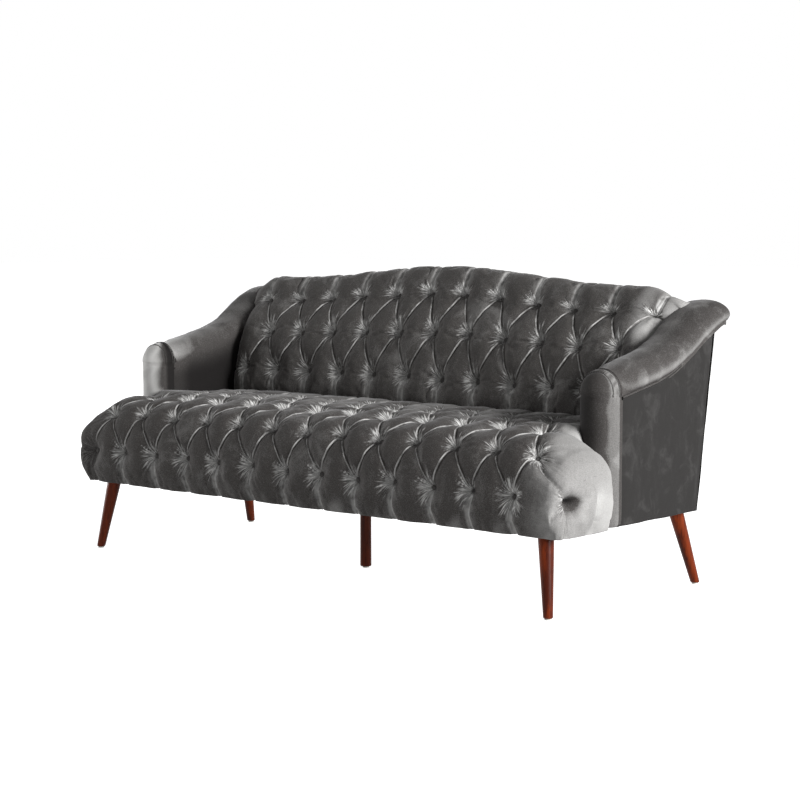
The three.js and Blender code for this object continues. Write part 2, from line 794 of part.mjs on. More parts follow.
// One ring of the arm's roll: section shares from the inner lower edge over the top.
const rollSectionShares = [
  [0.05, 0],
  [0, 0.3],
  [0.04, 0.64],
  [0.15, 0.88],
  [0.34, 0.99],
  [0.56, 1],
  [0.77, 0.9],
  [0.93, 0.66],
  [1, 0.34],
  [0.965, 0.08],
  [0.93, 0],
];

function rollRing(y, low, top, outerX, widthShare, grow) {
  const centre = (rollInnerX + outerX) / 2;
  const halfWidth = ((outerX - rollInnerX) / 2) * widthShare;
  return rollSectionShares.map(([across, up]) => {
    const x = centre + halfWidth * (2 * across - 1);
    const z = low + (top - low) * up;
    const side = Math.sign(across * 2 - 1);
    return [x + side * grow, y, z + (up > 0 ? grow : -grow)];
  });
}

const capAngles = [1, 0.8, 0.55, 0.28]; // stations round the front of the roll, of a quarter turn

function armRoll(grow) {
  const rings = [];
  const first = armLine[0];
  for (const angleOfQuarter of capAngles) {
    const angle = (angleOfQuarter * Math.PI) / 2;
    const size = Math.max(Math.cos(angle), 1 - capAngles[1]);
    const top = first.low + (first.top - first.low) * Math.max(Math.sqrt(size), 1 - capAngles[2]);
    rings.push(rollRing(first.y - capReach * Math.sin(angle) - grow, first.low, top, rollOuterX, size, grow));
  }
  armLine.forEach(({ y, low, top }, at) => {
    const along = (y - armFrontY) / armRun;
    const end = at === armLine.length - 1 ? grow : 0;
    rings.push(rollRing(y + end, low, top, rollOuterX + rollFlare * along, 1, grow));
  });
  return loft(rings);
}

// The room that an arm takes out of the back's cover, from the roll's middle down.
function armSideRoom() {
  const middle = armLine.map(({ y, low, top }) => [y, (low + top) / 2]);
  const rear = rollRearY + overrun;
  const outline = [
    [armFrontY, undersideHeight],
    ...middle,
    [rear, middle[middle.length - 1][1]],
    [rear, undersideHeight],
  ];
  return sidePrism(outline, armInnerX - seatGap, seatHalfWidth + overrun);
}

function underRollOutline(fromY, rearForward, bottom, clearance) {
  const rearTop = underRollAtBack(rearForward);
  const rearY = rearPlaneY(rearTop) - rearForward;
  const middle = armLine.filter(({ y }) => y > fromY && y < rearY);
  return [
    [fromY, bottom],
    [fromY, rollLow(fromY) - clearance],
    ...middle.map(({ y, low }) => [y, low - clearance]),
    [rearY, rearTop - clearance],
    [rearPlaneY(bottom) - rearForward, bottom],
  ];
}

function makeArms() {
  const roll = armRoll(0);
  addPair("arm_roll", "velvet", roll);

  const postFront = armFrontY - postForwardShare * postDepth;
  const postY = [postFront, postFront + postDepth];
  const railLow = rollLow(postY[0]) - seatGap - armRailHeight;
  const post = box(...armBoardX, ...postY, frameTop + seatGap, railLow - seatGap);
  addPair("arm_post", "beech", post);

  const railTopLine = underRollOutline(postY[0], seatGap, frameUnderside, seatGap).slice(1, -1);
  const railLowLine = [...railTopLine].reverse().map(([y, z]) => {
    const low = z - armRailHeight;
    return [Math.min(y, rearPlaneY(low) - seatGap), low];
  });
  addPair("arm_top_rail", "beech", sidePrism([...railTopLine, ...railLowLine], ...armBoardX));

  const backPostTop = underRollAtBack(postDepth, armRailHeight + 2 * seatGap);
  addPair("back_post", "beech", leanBoard(...armBoardX, postDepth, seatGap, frameTop + seatGap, backPostTop));

  const column = planPrism(columnArc(0), undersideHeight, rollLow(armFrontY) - seatGap);
  const around = (x0, x1, y0, y1, z0, z1) =>
    box(x0 - seatGap, x1 + seatGap, y0 - seatGap, y1 + seatGap, z0 - seatGap, z1 + seatGap);
  const postRoom = around(...armBoardX, ...postY, frameTop, rollLow(armFrontY) + overrun);
  const railRoom = around(
    frameHalfWidth - railThickness,
    frameHalfWidth,
    frameFrontY,
    armFrontY + overrun,
    undersideHeight - overrun,
    frameTop,
  );
  addPair("arm_column", "velvet", cut(column, postRoom, railRoom));

  const padX = [armInnerX, armInnerX + padThickness];
  const pad = underRollOutline(armFrontY + seatGap, postDepth + seatGap, frameTop + seatGap, seatGap);
  addPair("arm_inside_pad", "velvet", sidePrism(pad, ...padX));

  const panelX = [armOuterX - panelThickness, armOuterX];
  const panel = underRollOutline(armFrontY + seatGap, seatGap, leanFootHeight, seatGap);
  addPair("arm_outside_panel", "velvet", sidePrism(panel, ...panelX));
  addPair("arm_welt", "velvet", armWelt());
}

// The piping in the corner between the outside panel and the roll.
function armWelt() {
  const x = armOuterX + seatGap + weltRadius;
  const rearY = rearPlaneY(underRollAtBack(0));
  const stops = [armFrontY + seatGap, ...armLine.map(({ y }) => y).filter((y) => y > armFrontY && y < rearY), rearY];
  const rings = stops.map((y) =>
    Array.from({ length: weltSides }, (_, i) => {
      const angle = (2 * Math.PI * i) / weltSides;
      const z = rollLow(y) - weltRadius - seatGap * 2;
      return [x + weltRadius * Math.cos(angle), y, z + weltRadius * Math.sin(angle)];
    }),
  );
  return loft(rings);
}

function makeOutsideBack() {
  const half = armOuterX - seatGap;
  const shoulder = underRollAtBack(0) - seatGap;
  const inner = rollInnerX - seatGap;
  const camel = [];
  const steps = 2 * roundSides;
  for (let i = 0; i <= steps; i += 1) {
    const x = inner * (1 - (2 * i) / steps);
    camel.push([x, backHeight - backPanelDrop - camelFall(x)]);
  }
  const outline = [[-half, leanFootHeight], [half, leanFootHeight], [half, shoulder], [inner, shoulder]];
  outline.push(...camel, [-inner, shoulder], [-half, shoulder]);
  const rings = [0, panelThickness].map((y) => outline.map(([x, z]) => [x, rearPlaneY(z) + y, z]));
  add("outside_back_panel", "velvet", loft(rings));
}

makeLegs();
makeSeatFrame();
makeSuspension();
makeSeat();
makeArms();
makeBackFrame();
const armRooms = [armRoll(seatGap), armSideRoom()];
makeBack([...armRooms, ...armRooms.map(mirrorGeometry)]);
makeOutsideBack();

export default settee;
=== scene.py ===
# %% [markdown]
# # A diamond tufted settee in crushed velvet
#
# The settee has a deep tufted seat whose ends come round in front of the arms, a tufted back with a camel
# line, two arms that rise to a scroll, and five tapered legs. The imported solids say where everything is.
# This script dresses them: it builds the soft covers, buttons, piping and legs as new meshes, and gives
# every piece a finish made of shader nodes.

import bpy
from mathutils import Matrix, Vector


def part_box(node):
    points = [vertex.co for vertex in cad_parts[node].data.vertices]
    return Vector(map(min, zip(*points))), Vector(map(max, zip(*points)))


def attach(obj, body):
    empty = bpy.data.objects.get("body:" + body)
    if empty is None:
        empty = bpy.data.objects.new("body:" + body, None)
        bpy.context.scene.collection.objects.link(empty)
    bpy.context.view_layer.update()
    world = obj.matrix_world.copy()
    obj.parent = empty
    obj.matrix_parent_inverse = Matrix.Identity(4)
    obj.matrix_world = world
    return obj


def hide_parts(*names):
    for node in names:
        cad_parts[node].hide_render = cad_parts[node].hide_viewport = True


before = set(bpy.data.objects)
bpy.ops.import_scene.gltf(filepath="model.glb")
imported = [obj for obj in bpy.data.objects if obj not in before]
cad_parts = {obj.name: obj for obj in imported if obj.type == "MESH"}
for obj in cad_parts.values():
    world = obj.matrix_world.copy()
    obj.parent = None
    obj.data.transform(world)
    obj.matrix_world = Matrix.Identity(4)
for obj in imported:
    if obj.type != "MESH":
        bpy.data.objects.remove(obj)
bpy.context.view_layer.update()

# %% [markdown]
# ## Units and small tools
#
# Upholsterers think in millimetres, so all shapes here are worked out in millimetres and turned into metres
# when a mesh is made. The tools below are the ones that every soft piece needs: a smooth curve through a
# few points, an even wobble that looks like hand work, and a mesh made from a grid of points. Grids are
# used instead of sculpting because every pleat then has a place that can be worked out and changed.

# %% Tools
import math
from types import SimpleNamespace

import bmesh
import bpy
import numpy as np
from mathutils import Vector

MILLIMETRE = 0.001


def smooth_step(value):
    """Rises softly from nought to one as the value does, and stays there."""
    value = np.clip(value, 0, 1)
    return value * value * (3 - 2 * value)


def curve_through(points, place):
    """A smooth curve through a list of points, read at places that count from its first point."""
    points = np.asarray(points, float)
    last = len(points) - 1
    ends = np.vstack([2 * points[0] - points[1], points, 2 * points[-1] - points[-2]])
    place = np.clip(place, 0, last - 1e-9)
    start = place.astype(int)
    part = (place - start)[..., None]
    a, b, c, d = (ends[start + step] for step in range(4))
    bend = 2 * a - 5 * b + 4 * c - d
    return b + ((c - a) * part + bend * part**2 + (3 * b - a - 3 * c + d) * part**3) / 2


def wobble(points, size, seed, waves=9):
    """A smooth random height from minus one to one, with features of a given size."""
    draw = np.random.default_rng(seed)
    total = 0
    for _ in range(waves):
        direction = draw.normal(size=3)
        direction *= draw.uniform(0.6, 1.4) * 2 * math.pi / (size * np.linalg.norm(direction))
        total = total + np.sin(points @ direction + draw.uniform(0, 2 * math.pi))
    return total / waves**0.5 / 1.5


def grid_normals(points):
    """Unit normals of a grid of points, from its own two directions."""
    across = np.gradient(points, axis=0)
    along = np.gradient(points, axis=1)
    normal = np.cross(across, along)
    size = np.linalg.norm(normal, axis=-1, keepdims=True)
    return normal / np.maximum(size, 1e-9)


def grid_mesh(name, points, finish, keep=None, closed=False, values=None):
    """A smooth mesh from a grid of points in millimetres. keep says which faces stay."""
    rows, count = points.shape[:2]
    number = np.arange(rows * count).reshape(rows, count)
    if closed:
        number = np.hstack([number, number[:, :1]])
    quads = np.stack([number[:-1, :-1], number[1:, :-1], number[1:, 1:], number[:-1, 1:]], axis=-1)
    if keep is not None:
        quads = quads[keep]
    quads = quads.reshape(-1, 4)
    used, flat = np.unique(quads, return_inverse=True)
    mesh = bpy.data.meshes.new(name)
    mesh.from_pydata((points.reshape(-1, 3)[used] * MILLIMETRE).tolist(), [], flat.reshape(-1, 4).tolist())
    for title, value in (values or {}).items():
        kind = "FLOAT_VECTOR" if value.ndim == 3 else "FLOAT"
        field = "vector" if value.ndim == 3 else "value"
        attribute = mesh.attributes.new(title, kind, "POINT")
        attribute.data.foreach_set(field, value.reshape(rows * count, -1)[used].astype(np.float32).ravel())
    mesh.polygons.foreach_set("use_smooth", np.ones(len(mesh.polygons), bool))
    mesh.materials.append(finish)
    mesh.update()
    piece = bpy.data.objects.new(name, mesh)
    bpy.context.scene.collection.objects.link(piece)
    return piece


def weld(piece, distance=0.02):
    """Joins points of a mesh that lie on each other, and lets its faces look outwards."""
    work = bmesh.new()
    work.from_mesh(piece.data)
    bmesh.ops.remove_doubles(work, verts=work.verts, dist=distance * MILLIMETRE)
    bmesh.ops.dissolve_degenerate(work, edges=work.edges, dist=distance * MILLIMETRE)
    bmesh.ops.recalc_face_normals(work, faces=work.faces)
    work.to_mesh(piece.data)
    work.free()
    piece.data.update()
    return piece


def settled(piece, slot, *nodes):
    """Says which solids a piece stands for, and lets it ride on the settee."""
    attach(piece, "root")
    if nodes:
        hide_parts(*nodes)
    print(piece.name, len(piece.data.polygons), "faces")
    return piece


# %% [markdown]
# ## The camera
#
# The camera stands where the photographer stood. Its place and its long lens were found by fitting a
# pinhole camera to the feet, the corners of the seat and the rows of buttons.

# %% Camera
camera_azimuth = math.radians(40.51)
camera_elevation = math.radians(5.27)
camera_place = (3.6879, -4.2452, 0.9899)
picture_width = 800
focal_length_in_pixels = 1983
sensor_width = 36

camera_data = bpy.data.cameras.new("camera")
camera_data.sensor_width = sensor_width
camera_data.lens = sensor_width * focal_length_in_pixels / picture_width
camera = bpy.data.objects.new("camera", camera_data)
camera.location = camera_place
camera.rotation_mode = "QUATERNION"
level = math.cos(camera_elevation)
looking = Vector(
    (
        -math.sin(camera_azimuth) * level,
        math.cos(camera_azimuth) * level,
        -math.sin(camera_elevation),
    )
)
camera.rotation_quaternion = looking.to_track_quat("-Z", "Y")
bpy.context.scene.collection.objects.link(camera)
bpy.context.scene.camera = camera
bpy.context.scene.view_settings.view_transform = "Standard"
print("lens:", round(camera_data.lens, 1))

# %% [markdown]
# ## Light, floor and backdrop
#
# Velvet shows its shape by contrast: a broad soft lamp on the right, like a window, lights what faces it,
# and the front stays dark. A weak lamp behind the left end keeps the other side readable, and one far to
# the left lights the front of the left arm. A bright room all round would be simpler, but would light the
# front as well. The backdrop is pure white only for the camera and in reflections: as a light it gives a
# fifth of that.

# %% Lamps
lamp_width = 3.0
lamps = {
    "key": ((9.0, 0.0, 3.0), 1330),
    "rear": ((-5.0, 5.0, 3.2), 170),
    "left": ((-9.0, -2.6, 1.6), 330),
}
aim = Vector((0.1, 0, 0.4))


def add_lamp(name, place, power):
    """A square lamp that looks at the settee."""
    lamp_data = bpy.data.lights.new(name, "AREA")
    lamp_data.shape = "SQUARE"
    lamp_data.size = lamp_width
    lamp_data.energy = power
    lamp = bpy.data.objects.new(name, lamp_data)
    lamp.location = place
    lamp.rotation_mode = "QUATERNION"
    lamp.rotation_quaternion = (aim - Vector(place)).to_track_quat("-Z", "Y")
    bpy.context.scene.collection.objects.link(lamp)


for name, (place, power) in lamps.items():
    add_lamp(name, place, power)
    print(name, "lamp:", power, "watts")

# %% Backdrop
fill_strength = 0.2


def seen_directly(nodes, links):
    """One for camera, glossy and transmission rays, and nought for the rays that carry light."""
    path = nodes.new("ShaderNodeLightPath")
    most = path.outputs["Is Camera Ray"]
    for ray in ("Is Glossy Ray", "Is Transmission Ray"):
        larger = nodes.new("ShaderNodeMath")
        larger.operation = "MAXIMUM"
        links.new(most, larger.inputs[0])
        links.new(path.outputs[ray], larger.inputs[1])
        most = larger.outputs[0]
    return most


world = bpy.data.worlds.new("studio")
bpy.context.scene.world = world
world.use_nodes = True
nodes, links = world.node_tree.nodes, world.node_tree.links
backdrop = nodes["Background"]
backdrop.inputs["Color"].default_value = (1, 1, 1, 1)
strength = nodes.new("ShaderNodeMapRange")
strength.inputs["To Min"].default_value = fill_strength
strength.inputs["To Max"].default_value = 1
links.new(seen_directly(nodes, links), strength.inputs["Value"])
links.new(strength.outputs["Result"], backdrop.inputs["Strength"])

# %% Floor
floor_size = 60000
floor_colour = (0.6, 0.6, 0.6, 1)
floor_glow = 0.95

floor_finish = bpy.data.materials.new("floor")
floor_finish.use_nodes = True
nodes, links = floor_finish.node_tree.nodes, floor_finish.node_tree.links
paper = nodes["Principled BSDF"]
paper.inputs["Base Color"].default_value = floor_colour
paper.inputs["Roughness"].default_value = 0.9
paper.inputs["Specular IOR Level"].default_value = 0.1
glow = nodes.new("ShaderNodeMapRange")
glow.inputs["To Max"].default_value = floor_glow
links.new(seen_directly(nodes, links), glow.inputs["Value"])
paper.inputs["Emission Color"].default_value = (1, 1, 1, 1)
links.new(glow.outputs["Result"], paper.inputs["Emission Strength"])

half = floor_size / 2
corners = np.array([[[-half, -half, 0], [-half, half, 0]], [[half, -half, 0], [half, half, 0]]], float)
floor = grid_mesh("floor", corners, floor_finish)
print("floor:", floor_size * MILLIMETRE, "metres wide")

# %% [markdown]
# ## Velvet
#
# Velvet is a pile of short fibres. It looks dark where one looks into the pile and silvery where one sees
# the fibres' sides. Crushed velvet also has cloudy patches where the pile lies another way, as random tone.
# Besides these, light and shade are painted into the colour: a painted highlight on the rim of each fold and
# in a fan round each button, and painted light and shade on other stretches. A picture of velvet wrapped
# round the seat would put these in the wrong places, so one node group makes them from the place on the piece
# and
# from five values of the mesh's points:
#
# One value says how strongly the cloth is gathered round a button and how bright its painted highlight fan
# is, and spoke in which direction that button lies. slant says how far the nearest pleats are, counted along
# the lattice, and edges how much of their painted highlight rims shows. The last value paints light and shade
# elsewhere, with some random tone of the pile: above nought it is painted lighter, and below nought painted
# darker, down to a painted shade colour. Pieces that carry none of them get nought for all five. The sheen
# itself is a socket of the shader.


# %% Node helpers
def feed(tree, socket, value):
    """Links a socket to another socket, or gives it a plain value."""
    if isinstance(value, bpy.types.NodeSocket):
        tree.links.new(value, socket)
    else:
        socket.default_value = value


def node(tree, kind, settings=None, **inputs):
    """A new node with its settings and the values or links of its sockets."""
    made = tree.nodes.new(kind)
    for title, value in (settings or {}).items():
        setattr(made, title, value)
    for title, value in inputs.items():
        feed(tree, made.inputs[title.replace("_", " ")], value)
    return made


def calculate(tree, operation, *values):
    """One step of arithmetic."""
    made = tree.nodes.new("ShaderNodeMath")
    made.operation = operation
    for place, value in enumerate(values):
        feed(tree, made.inputs[place], value)
    return made.outputs[0]


def remap(tree, value, low, high, to_low=0.0, to_high=1.0):
    """Turns a range of values into another one, with soft ends."""
    made = tree.nodes.new("ShaderNodeMapRange")
    made.interpolation_type = "SMOOTHSTEP"
    tree.links.new(value, made.inputs["Value"])
    for title, number in zip(("From Min", "From Max", "To Min", "To Max"), (low, high, to_low, to_high)):
        made.inputs[title].default_value = number
    return made.outputs["Result"]


def blend_colours(tree, share, first, second):
    """The first colour where the share is nought, the second where it is one."""
    made = tree.nodes.new("ShaderNodeMix")
    made.data_type = "RGBA"
    for place, value in ((0, share), (6, first), (7, second)):
        feed(tree, made.inputs[place], value)
    return made.outputs[2]


def carried(tree, title):
    """A value that the mesh's points carry."""
    return node(tree, "ShaderNodeAttribute", {"attribute_name": title}).outputs


def new_group(name, inputs, outputs):
    """A node group with named sockets: inputs are (name, kind, value), outputs are (name, kind)."""
    tree = bpy.data.node_groups.new(name, "ShaderNodeTree")
    for title, kind, value in inputs:
        tree.interface.new_socket(title, in_out="INPUT", socket_type=kind).default_value = value
    for title, kind in outputs:
        tree.interface.new_socket(title, in_out="OUTPUT", socket_type=kind)
    return tree, tree.nodes.new("NodeGroupInput").outputs, tree.nodes.new("NodeGroupOutput").inputs


def new_finish(name):
    """A new material, its nodes and its shader."""
    finish = bpy.data.materials.new(name)
    finish.use_nodes = True
    return finish, finish.node_tree, finish.node_tree.nodes["Principled BSDF"]


def add_bump(tree, shader, height, strength, distance):
    """Lets a height roughen the surface without new geometry."""
    bump = node(tree, "ShaderNodeBump", Height=height, Strength=strength, Distance=distance)
    tree.links.new(bump.outputs["Normal"], shader.inputs["Normal"])


COLOUR, NUMBER = "NodeSocketColor", "NodeSocketFloat"

# %% Velvet group and its crushed patches
velvet_group, given, put = new_group(
    "velvet_pile",
    [
        ("Deep", COLOUR, (0.1, 0.1, 0.1, 1)),
        ("Silver", COLOUR, (0.4, 0.4, 0.4, 1)),
        ("Crush Scale", NUMBER, 7.0),
        ("Crush Amount", NUMBER, 0.4),
    ],
    [("Color", COLOUR), ("Height", NUMBER), ("Roughness", NUMBER)],
)
tree = velvet_group
place = node(tree, "ShaderNodeTexCoord").outputs["Object"]
clouds = node(
    tree,
    "ShaderNodeTexNoise",
    Vector=place,
    Scale=given["Crush Scale"],
    Detail=5.0,
    Roughness=0.62,
    Distortion=0.7,
)
strokes_place = node(tree, "ShaderNodeMapping", Vector=place, Scale=(5, 5, 1.6)).outputs["Vector"]
strokes = node(tree, "ShaderNodeTexNoise", Vector=strokes_place, Scale=6.0, Detail=6.0, Roughness=0.7)
pile = node(tree, "ShaderNodeTexNoise", Vector=place, Scale=420.0, Detail=2.0, Roughness=0.6)
crushed = remap(tree, clouds.outputs["Fac"], 0.5, 0.72)
stroked = remap(tree, strokes.outputs["Fac"], 0.48, 0.75)
patch = calculate(tree, "MULTIPLY_ADD", crushed, 0.65, calculate(tree, "MULTIPLY", stroked, 0.35))
patch = calculate(tree, "MULTIPLY", patch, given["Crush Amount"])

# %% Velvet rays and painted highlight fans round the buttons
gather = carried(tree, "gather")["Fac"]
spoke = carried(tree, "spoke")["Vector"]
rays = node(tree, "ShaderNodeTexNoise", Vector=spoke, Scale=11.5, Detail=1.5, Roughness=0.5)
ray = remap(tree, rays.outputs["Fac"], 0.46, 0.58)
# The fan's strength, with a bright core next to the button, is a painted highlight; the rays break it up.
core = calculate(tree, "MULTIPLY_ADD", calculate(tree, "MULTIPLY", gather, gather), 0.35, 0.1)
ray_light = calculate(tree, "MULTIPLY", gather, calculate(tree, "MAXIMUM", ray, core))

# %% Velvet painted highlights on the rims of the pleats
slants = node(tree, "ShaderNodeSeparateXYZ", Vector=carried(tree, "slant")["Vector"]).outputs
shares = node(tree, "ShaderNodeSeparateXYZ", Vector=carried(tree, "edges")["Vector"]).outputs
edge = shares["Z"]
# Each pleat's rim gets a painted highlight, a little beside the pleat.
for axis, bright, dark in (("X", 0.008, 0.06), ("Y", 0.01, 0.065)):
    rim = remap(tree, calculate(tree, "ABSOLUTE", slants[axis]), bright, dark, 1.0, 0.0)
    edge = calculate(tree, "MAXIMUM", edge, calculate(tree, "MULTIPLY", rim, shares[axis]))
# Noise breaks up the painted rim highlight.
rim_highlight_noise = node(tree, "ShaderNodeTexNoise", Vector=place, Scale=45.0, Detail=3.0)
rim_highlight_breaks = remap(tree, rim_highlight_noise.outputs["Fac"], 0.3, 0.62, 0.35, 1.0)
edge = calculate(tree, "MULTIPLY", edge, rim_highlight_breaks)

# %% Velvet tone with painted light and shade, height and roughness
# The near black colour of painted shade, reached where the painted light value falls to minus one.
pile_shadow = (0.008, 0.007, 0.007, 1)

nap = carried(tree, "nap")["Fac"]
# Random crushed patches, the painted light and shade, and the painted highlights of fans and rims make the
# share of silver.
share = calculate(tree, "ADD", patch, nap)
share = calculate(tree, "MAXIMUM", share, calculate(tree, "MAXIMUM", ray_light, edge))
# Painted shade in the gaps between the rays of a fan.
dark_ray = calculate(tree, "SUBTRACT", 1.0, ray)
ray_gap = calculate(tree, "MULTIPLY", dark_ray, calculate(tree, "MAXIMUM", nap, 0.0))
gap_shade = calculate(tree, "MULTIPLY", ray_gap, calculate(tree, "MULTIPLY", gather, 1.3))
share = calculate(tree, "SUBTRACT", share, gap_shade)
share = calculate(tree, "ADD", share, remap(tree, pile.outputs["Fac"], 0.3, 0.7, -0.05, 0.05))
share_limit = node(tree, "ShaderNodeClamp", Value=share).outputs[0]
toned = blend_colours(tree, share_limit, given["Deep"], given["Silver"])
# Below nought the colour is painted darker, toward the painted shade colour.
dark_share = remap(tree, nap, -1.0, 0.0, 1.0, 0.0)
tree.links.new(blend_colours(tree, dark_share, toned, pile_shadow), put["Color"])
height = calculate(tree, "MULTIPLY", calculate(tree, "MULTIPLY", ray, gather), 2.6)
height = calculate(tree, "ADD", height, calculate(tree, "MULTIPLY", pile.outputs["Fac"], 0.12))
height = calculate(tree, "ADD", height, calculate(tree, "MULTIPLY", clouds.outputs["Fac"], 0.5))
tree.links.new(height, put["Height"])
tree.links.new(remap(tree, share, 0.0, 1.0, 0.78, 0.6), put["Roughness"])
print("velvet group:", len(tree.nodes), "nodes")


# %% Velvet finishes
def velvet(name, deep, silver, crush_scale, crush_amount, sheen=0.16):
    """A velvet between two colours: deep in its plain pile, silver in its crushed patches and its painted
    highlights.
    """
    finish, tree, cloth = new_finish(name)
    pile_node = node(
        tree,
        "ShaderNodeGroup",
        {"node_tree": velvet_group},
        Deep=(*deep, 1),
        Silver=(*silver, 1),
        Crush_Scale=crush_scale,
        Crush_Amount=crush_amount,
    )
    tree.links.new(pile_node.outputs["Color"], cloth.inputs["Base Color"])
    tree.links.new(pile_node.outputs["Roughness"], cloth.inputs["Roughness"])
    add_bump(tree, cloth, pile_node.outputs["Height"], 0.6, 0.0012)
    cloth.inputs["Specular IOR Level"].default_value = 0.12
    cloth.inputs["Sheen Weight"].default_value = sheen
    cloth.inputs["Sheen Roughness"].default_value = 0.32
    cloth.inputs["Sheen Tint"].default_value = (0.86, 0.86, 0.88, 1)
    return finish


seat_velvet = velvet("seat_velvet", (0.054, 0.0495, 0.047), (0.86, 0.855, 0.84), 9.0, 0.13)
back_velvet = velvet("back_velvet", (0.065, 0.0605, 0.0575), (0.86, 0.855, 0.84), 9.0, 0.14)
arm_velvet = velvet("arm_velvet", (0.05, 0.046, 0.044), (0.72, 0.715, 0.7), 9.0, 0.19)
panel_velvet = velvet("panel_velvet", (0.02, 0.019, 0.0185), (0.06, 0.058, 0.057), 15.0, 0.6, sheen=0.1)
button_velvet = velvet("button_velvet", (0.1, 0.096, 0.093), (0.3, 0.295, 0.29), 30.0, 0.3)

# %% [markdown]
# ## Sizes of the settee
#
# These repeat the driving dimensions of the solids, in millimetres, because the shapes below are worked out
# from them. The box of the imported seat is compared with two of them, so a change of one shows at once.
# shoulder_height is where the outside panels end, under the arms' tops.

# %% Sizes
underside_height = 206
seat_height = 476
seat_half_width = 893
seat_front = -378
seat_rear = 125
arm_outer = 877
arm_inner = 764
arm_front = -98
arm_front_height = 606
arm_rise = 162
scroll_rear = 378
shoulder_height = 713
back_height = 840
back_low_edge = 446
camel_drop = 42
camel_half_span = 620
lean = 0.163
lean_foot = 268
lean_foot_height = 222
tuft_pitch = 130

column_centre = (arm_inner + arm_outer) / 2
column_radius = (arm_outer - arm_inner) / 2
seat_depth = seat_rear - seat_front
seat_thickness = seat_height - underside_height
low_corner, high_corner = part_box("seat_cover")
assert abs(high_corner.x / MILLIMETRE - seat_half_width) < 1
assert abs(low_corner.y / MILLIMETRE - seat_front) < 1
print("seat:", 2 * seat_half_width, "wide,", seat_depth, "deep")


def rear_plane(z):
    """How far back the leaning rear plane is at a height."""
    return lean_foot + lean * (z - lean_foot_height)


def camel_fall(x):
    """How much lower the camel line is at a place than in the middle."""
    reach = np.minimum(np.abs(x) / camel_half_span, 1)
    return camel_drop * (1 - np.cos(math.pi * reach)) / 2


# %% [markdown]
# ## Tufting
#
# In diamond tufting every button pulls the cover down to the frame, and the spare cloth between
# neighbouring buttons is laid in a pleat. The buttons of one row stand half a pitch beside those of the
# next, so the pleats cross as a lattice of diamonds. A displacement texture could give such a pattern, but
# the pleats and the pits are the very shape of this settee, so they are made in the mesh.
#
# Two slanted counts make the lattice simple. Where both are whole numbers there is a button, and where one
# of them is, there is a pleat. The depth of the cover then follows from the distance to the nearest pleats
# and to the nearest button.


# %% Lattice
far_away = 1e3
numbers_per_slant = 64


def grid_lines(first, last, gap, steps, squeeze=0.5):
    """Places of grid lines that crowd together at each lattice line."""
    cells = round((last - first) / gap)
    share = np.arange(cells * steps + 1) / steps
    crowded = share - squeeze * np.sin(2 * math.pi * share) / (2 * math.pi)
    return first + gap * crowded


def is_button(first_count, second_count, reach):
    """Whether the lattice has a button there. reach is the outermost column of each row."""
    row = first_count - second_count
    column = 2 * (first_count + second_count - 1)
    inside = (row >= 0) & (row < len(reach))
    return inside & (np.abs(column) <= np.asarray(reach)[np.clip(row, 0, len(reach) - 1)])


def find_lattice(column, row, across, along, reach):
    """How each point lies in the lattice: the distance to the nearest pleat of each slant and to the nearest
    button, the offset and the angle from that button, the button's number, and the two slanted counts.

    column counts quarter pitches from the middle and row counts half rows from the first row of buttons;
    across and along are the millimetres that one count measures."""
    slant_a = column / 4 + row / 4 + 0.5
    slant_b = column / 4 - row / 4 + 0.5
    low_a = np.floor(slant_a).astype(int)
    low_b = np.floor(slant_b).astype(int)
    button = np.full(column.shape, far_away)
    pleats = [button.copy(), button.copy()]
    offset = np.zeros(column.shape + (2,))
    number = np.zeros(column.shape, int)

    def offset_to(a, b):
        return (column - 2 * (a + b - 1)) * across, (row - 2 * (a - b)) * along

    for a_step in (-1, 0, 1, 2):
        for b_step in (-1, 0, 1, 2):
            a, b = low_a + a_step, low_b + b_step
            here = is_button(a, b, reach)
            dx, dy = offset_to(a, b)
            distance = np.where(here, np.hypot(dx, dy), far_away)
            closer = distance < button
            button = np.where(closer, distance, button)
            offset[closer] = np.stack([dx, dy], axis=-1)[closer]
            number = np.where(closer, a * numbers_per_slant + b, number)
            for slant, (a_next, b_next) in enumerate(((a, b + 1), (a + 1, b))):
                pleat = here & is_button(a_next, b_next, reach)
                ex, ey = offset_to(a_next, b_next)
                run_x, run_y = dx - ex, dy - ey
                part = np.clip((dx * run_x + dy * run_y) / np.maximum(run_x**2 + run_y**2, 1e-9), 0, 1)
                away = np.hypot(dx - part * run_x, dy - part * run_y)
                pleats[slant] = np.where(pleat, np.minimum(pleats[slant], away), pleats[slant])
    return SimpleNamespace(
        pleat_a=pleats[0],
        pleat_b=pleats[1],
        button=button,
        offset=offset,
        angle=np.arctan2(offset[..., 1], offset[..., 0]),
        number=number,
        slant_a=slant_a,
        slant_b=slant_b,
    )


# %% [markdown]
# The pillow between the pleats is nearly flat on top and turns down steeply at its rim, like a tight
# cushion. Round a button the cloth gathers into rays. The coarse rays are in the mesh, and the finest ones
# are left to the velvet's bump, because they are thinner than a mesh of this size can hold.

# %% Tuft shapes
pillow_width = 112
pillow_flatness = 0.5
pit_radius = 21
pit_sharpness = 1.25
ray_depth = 2.1
ray_counts = (11, 15, 21)


def pillow(distance):
    """How full the pillow is at a distance from its pleat: nought at the pleat and one in the middle."""
    share = np.clip(distance / pillow_width, 0, 0.5)
    return (2 * np.sqrt(share * (1 - share))) ** pillow_flatness


def tuft_depth(lattice, fold_depth, button_depth):
    """How far the cover is drawn in by its pleats and buttons."""
    between = 1 - pillow(lattice.pleat_a) * pillow(lattice.pleat_b)
    pit = np.exp(-((lattice.button / pit_radius) ** pit_sharpness))
    return fold_depth * between + (button_depth - fold_depth) * pit


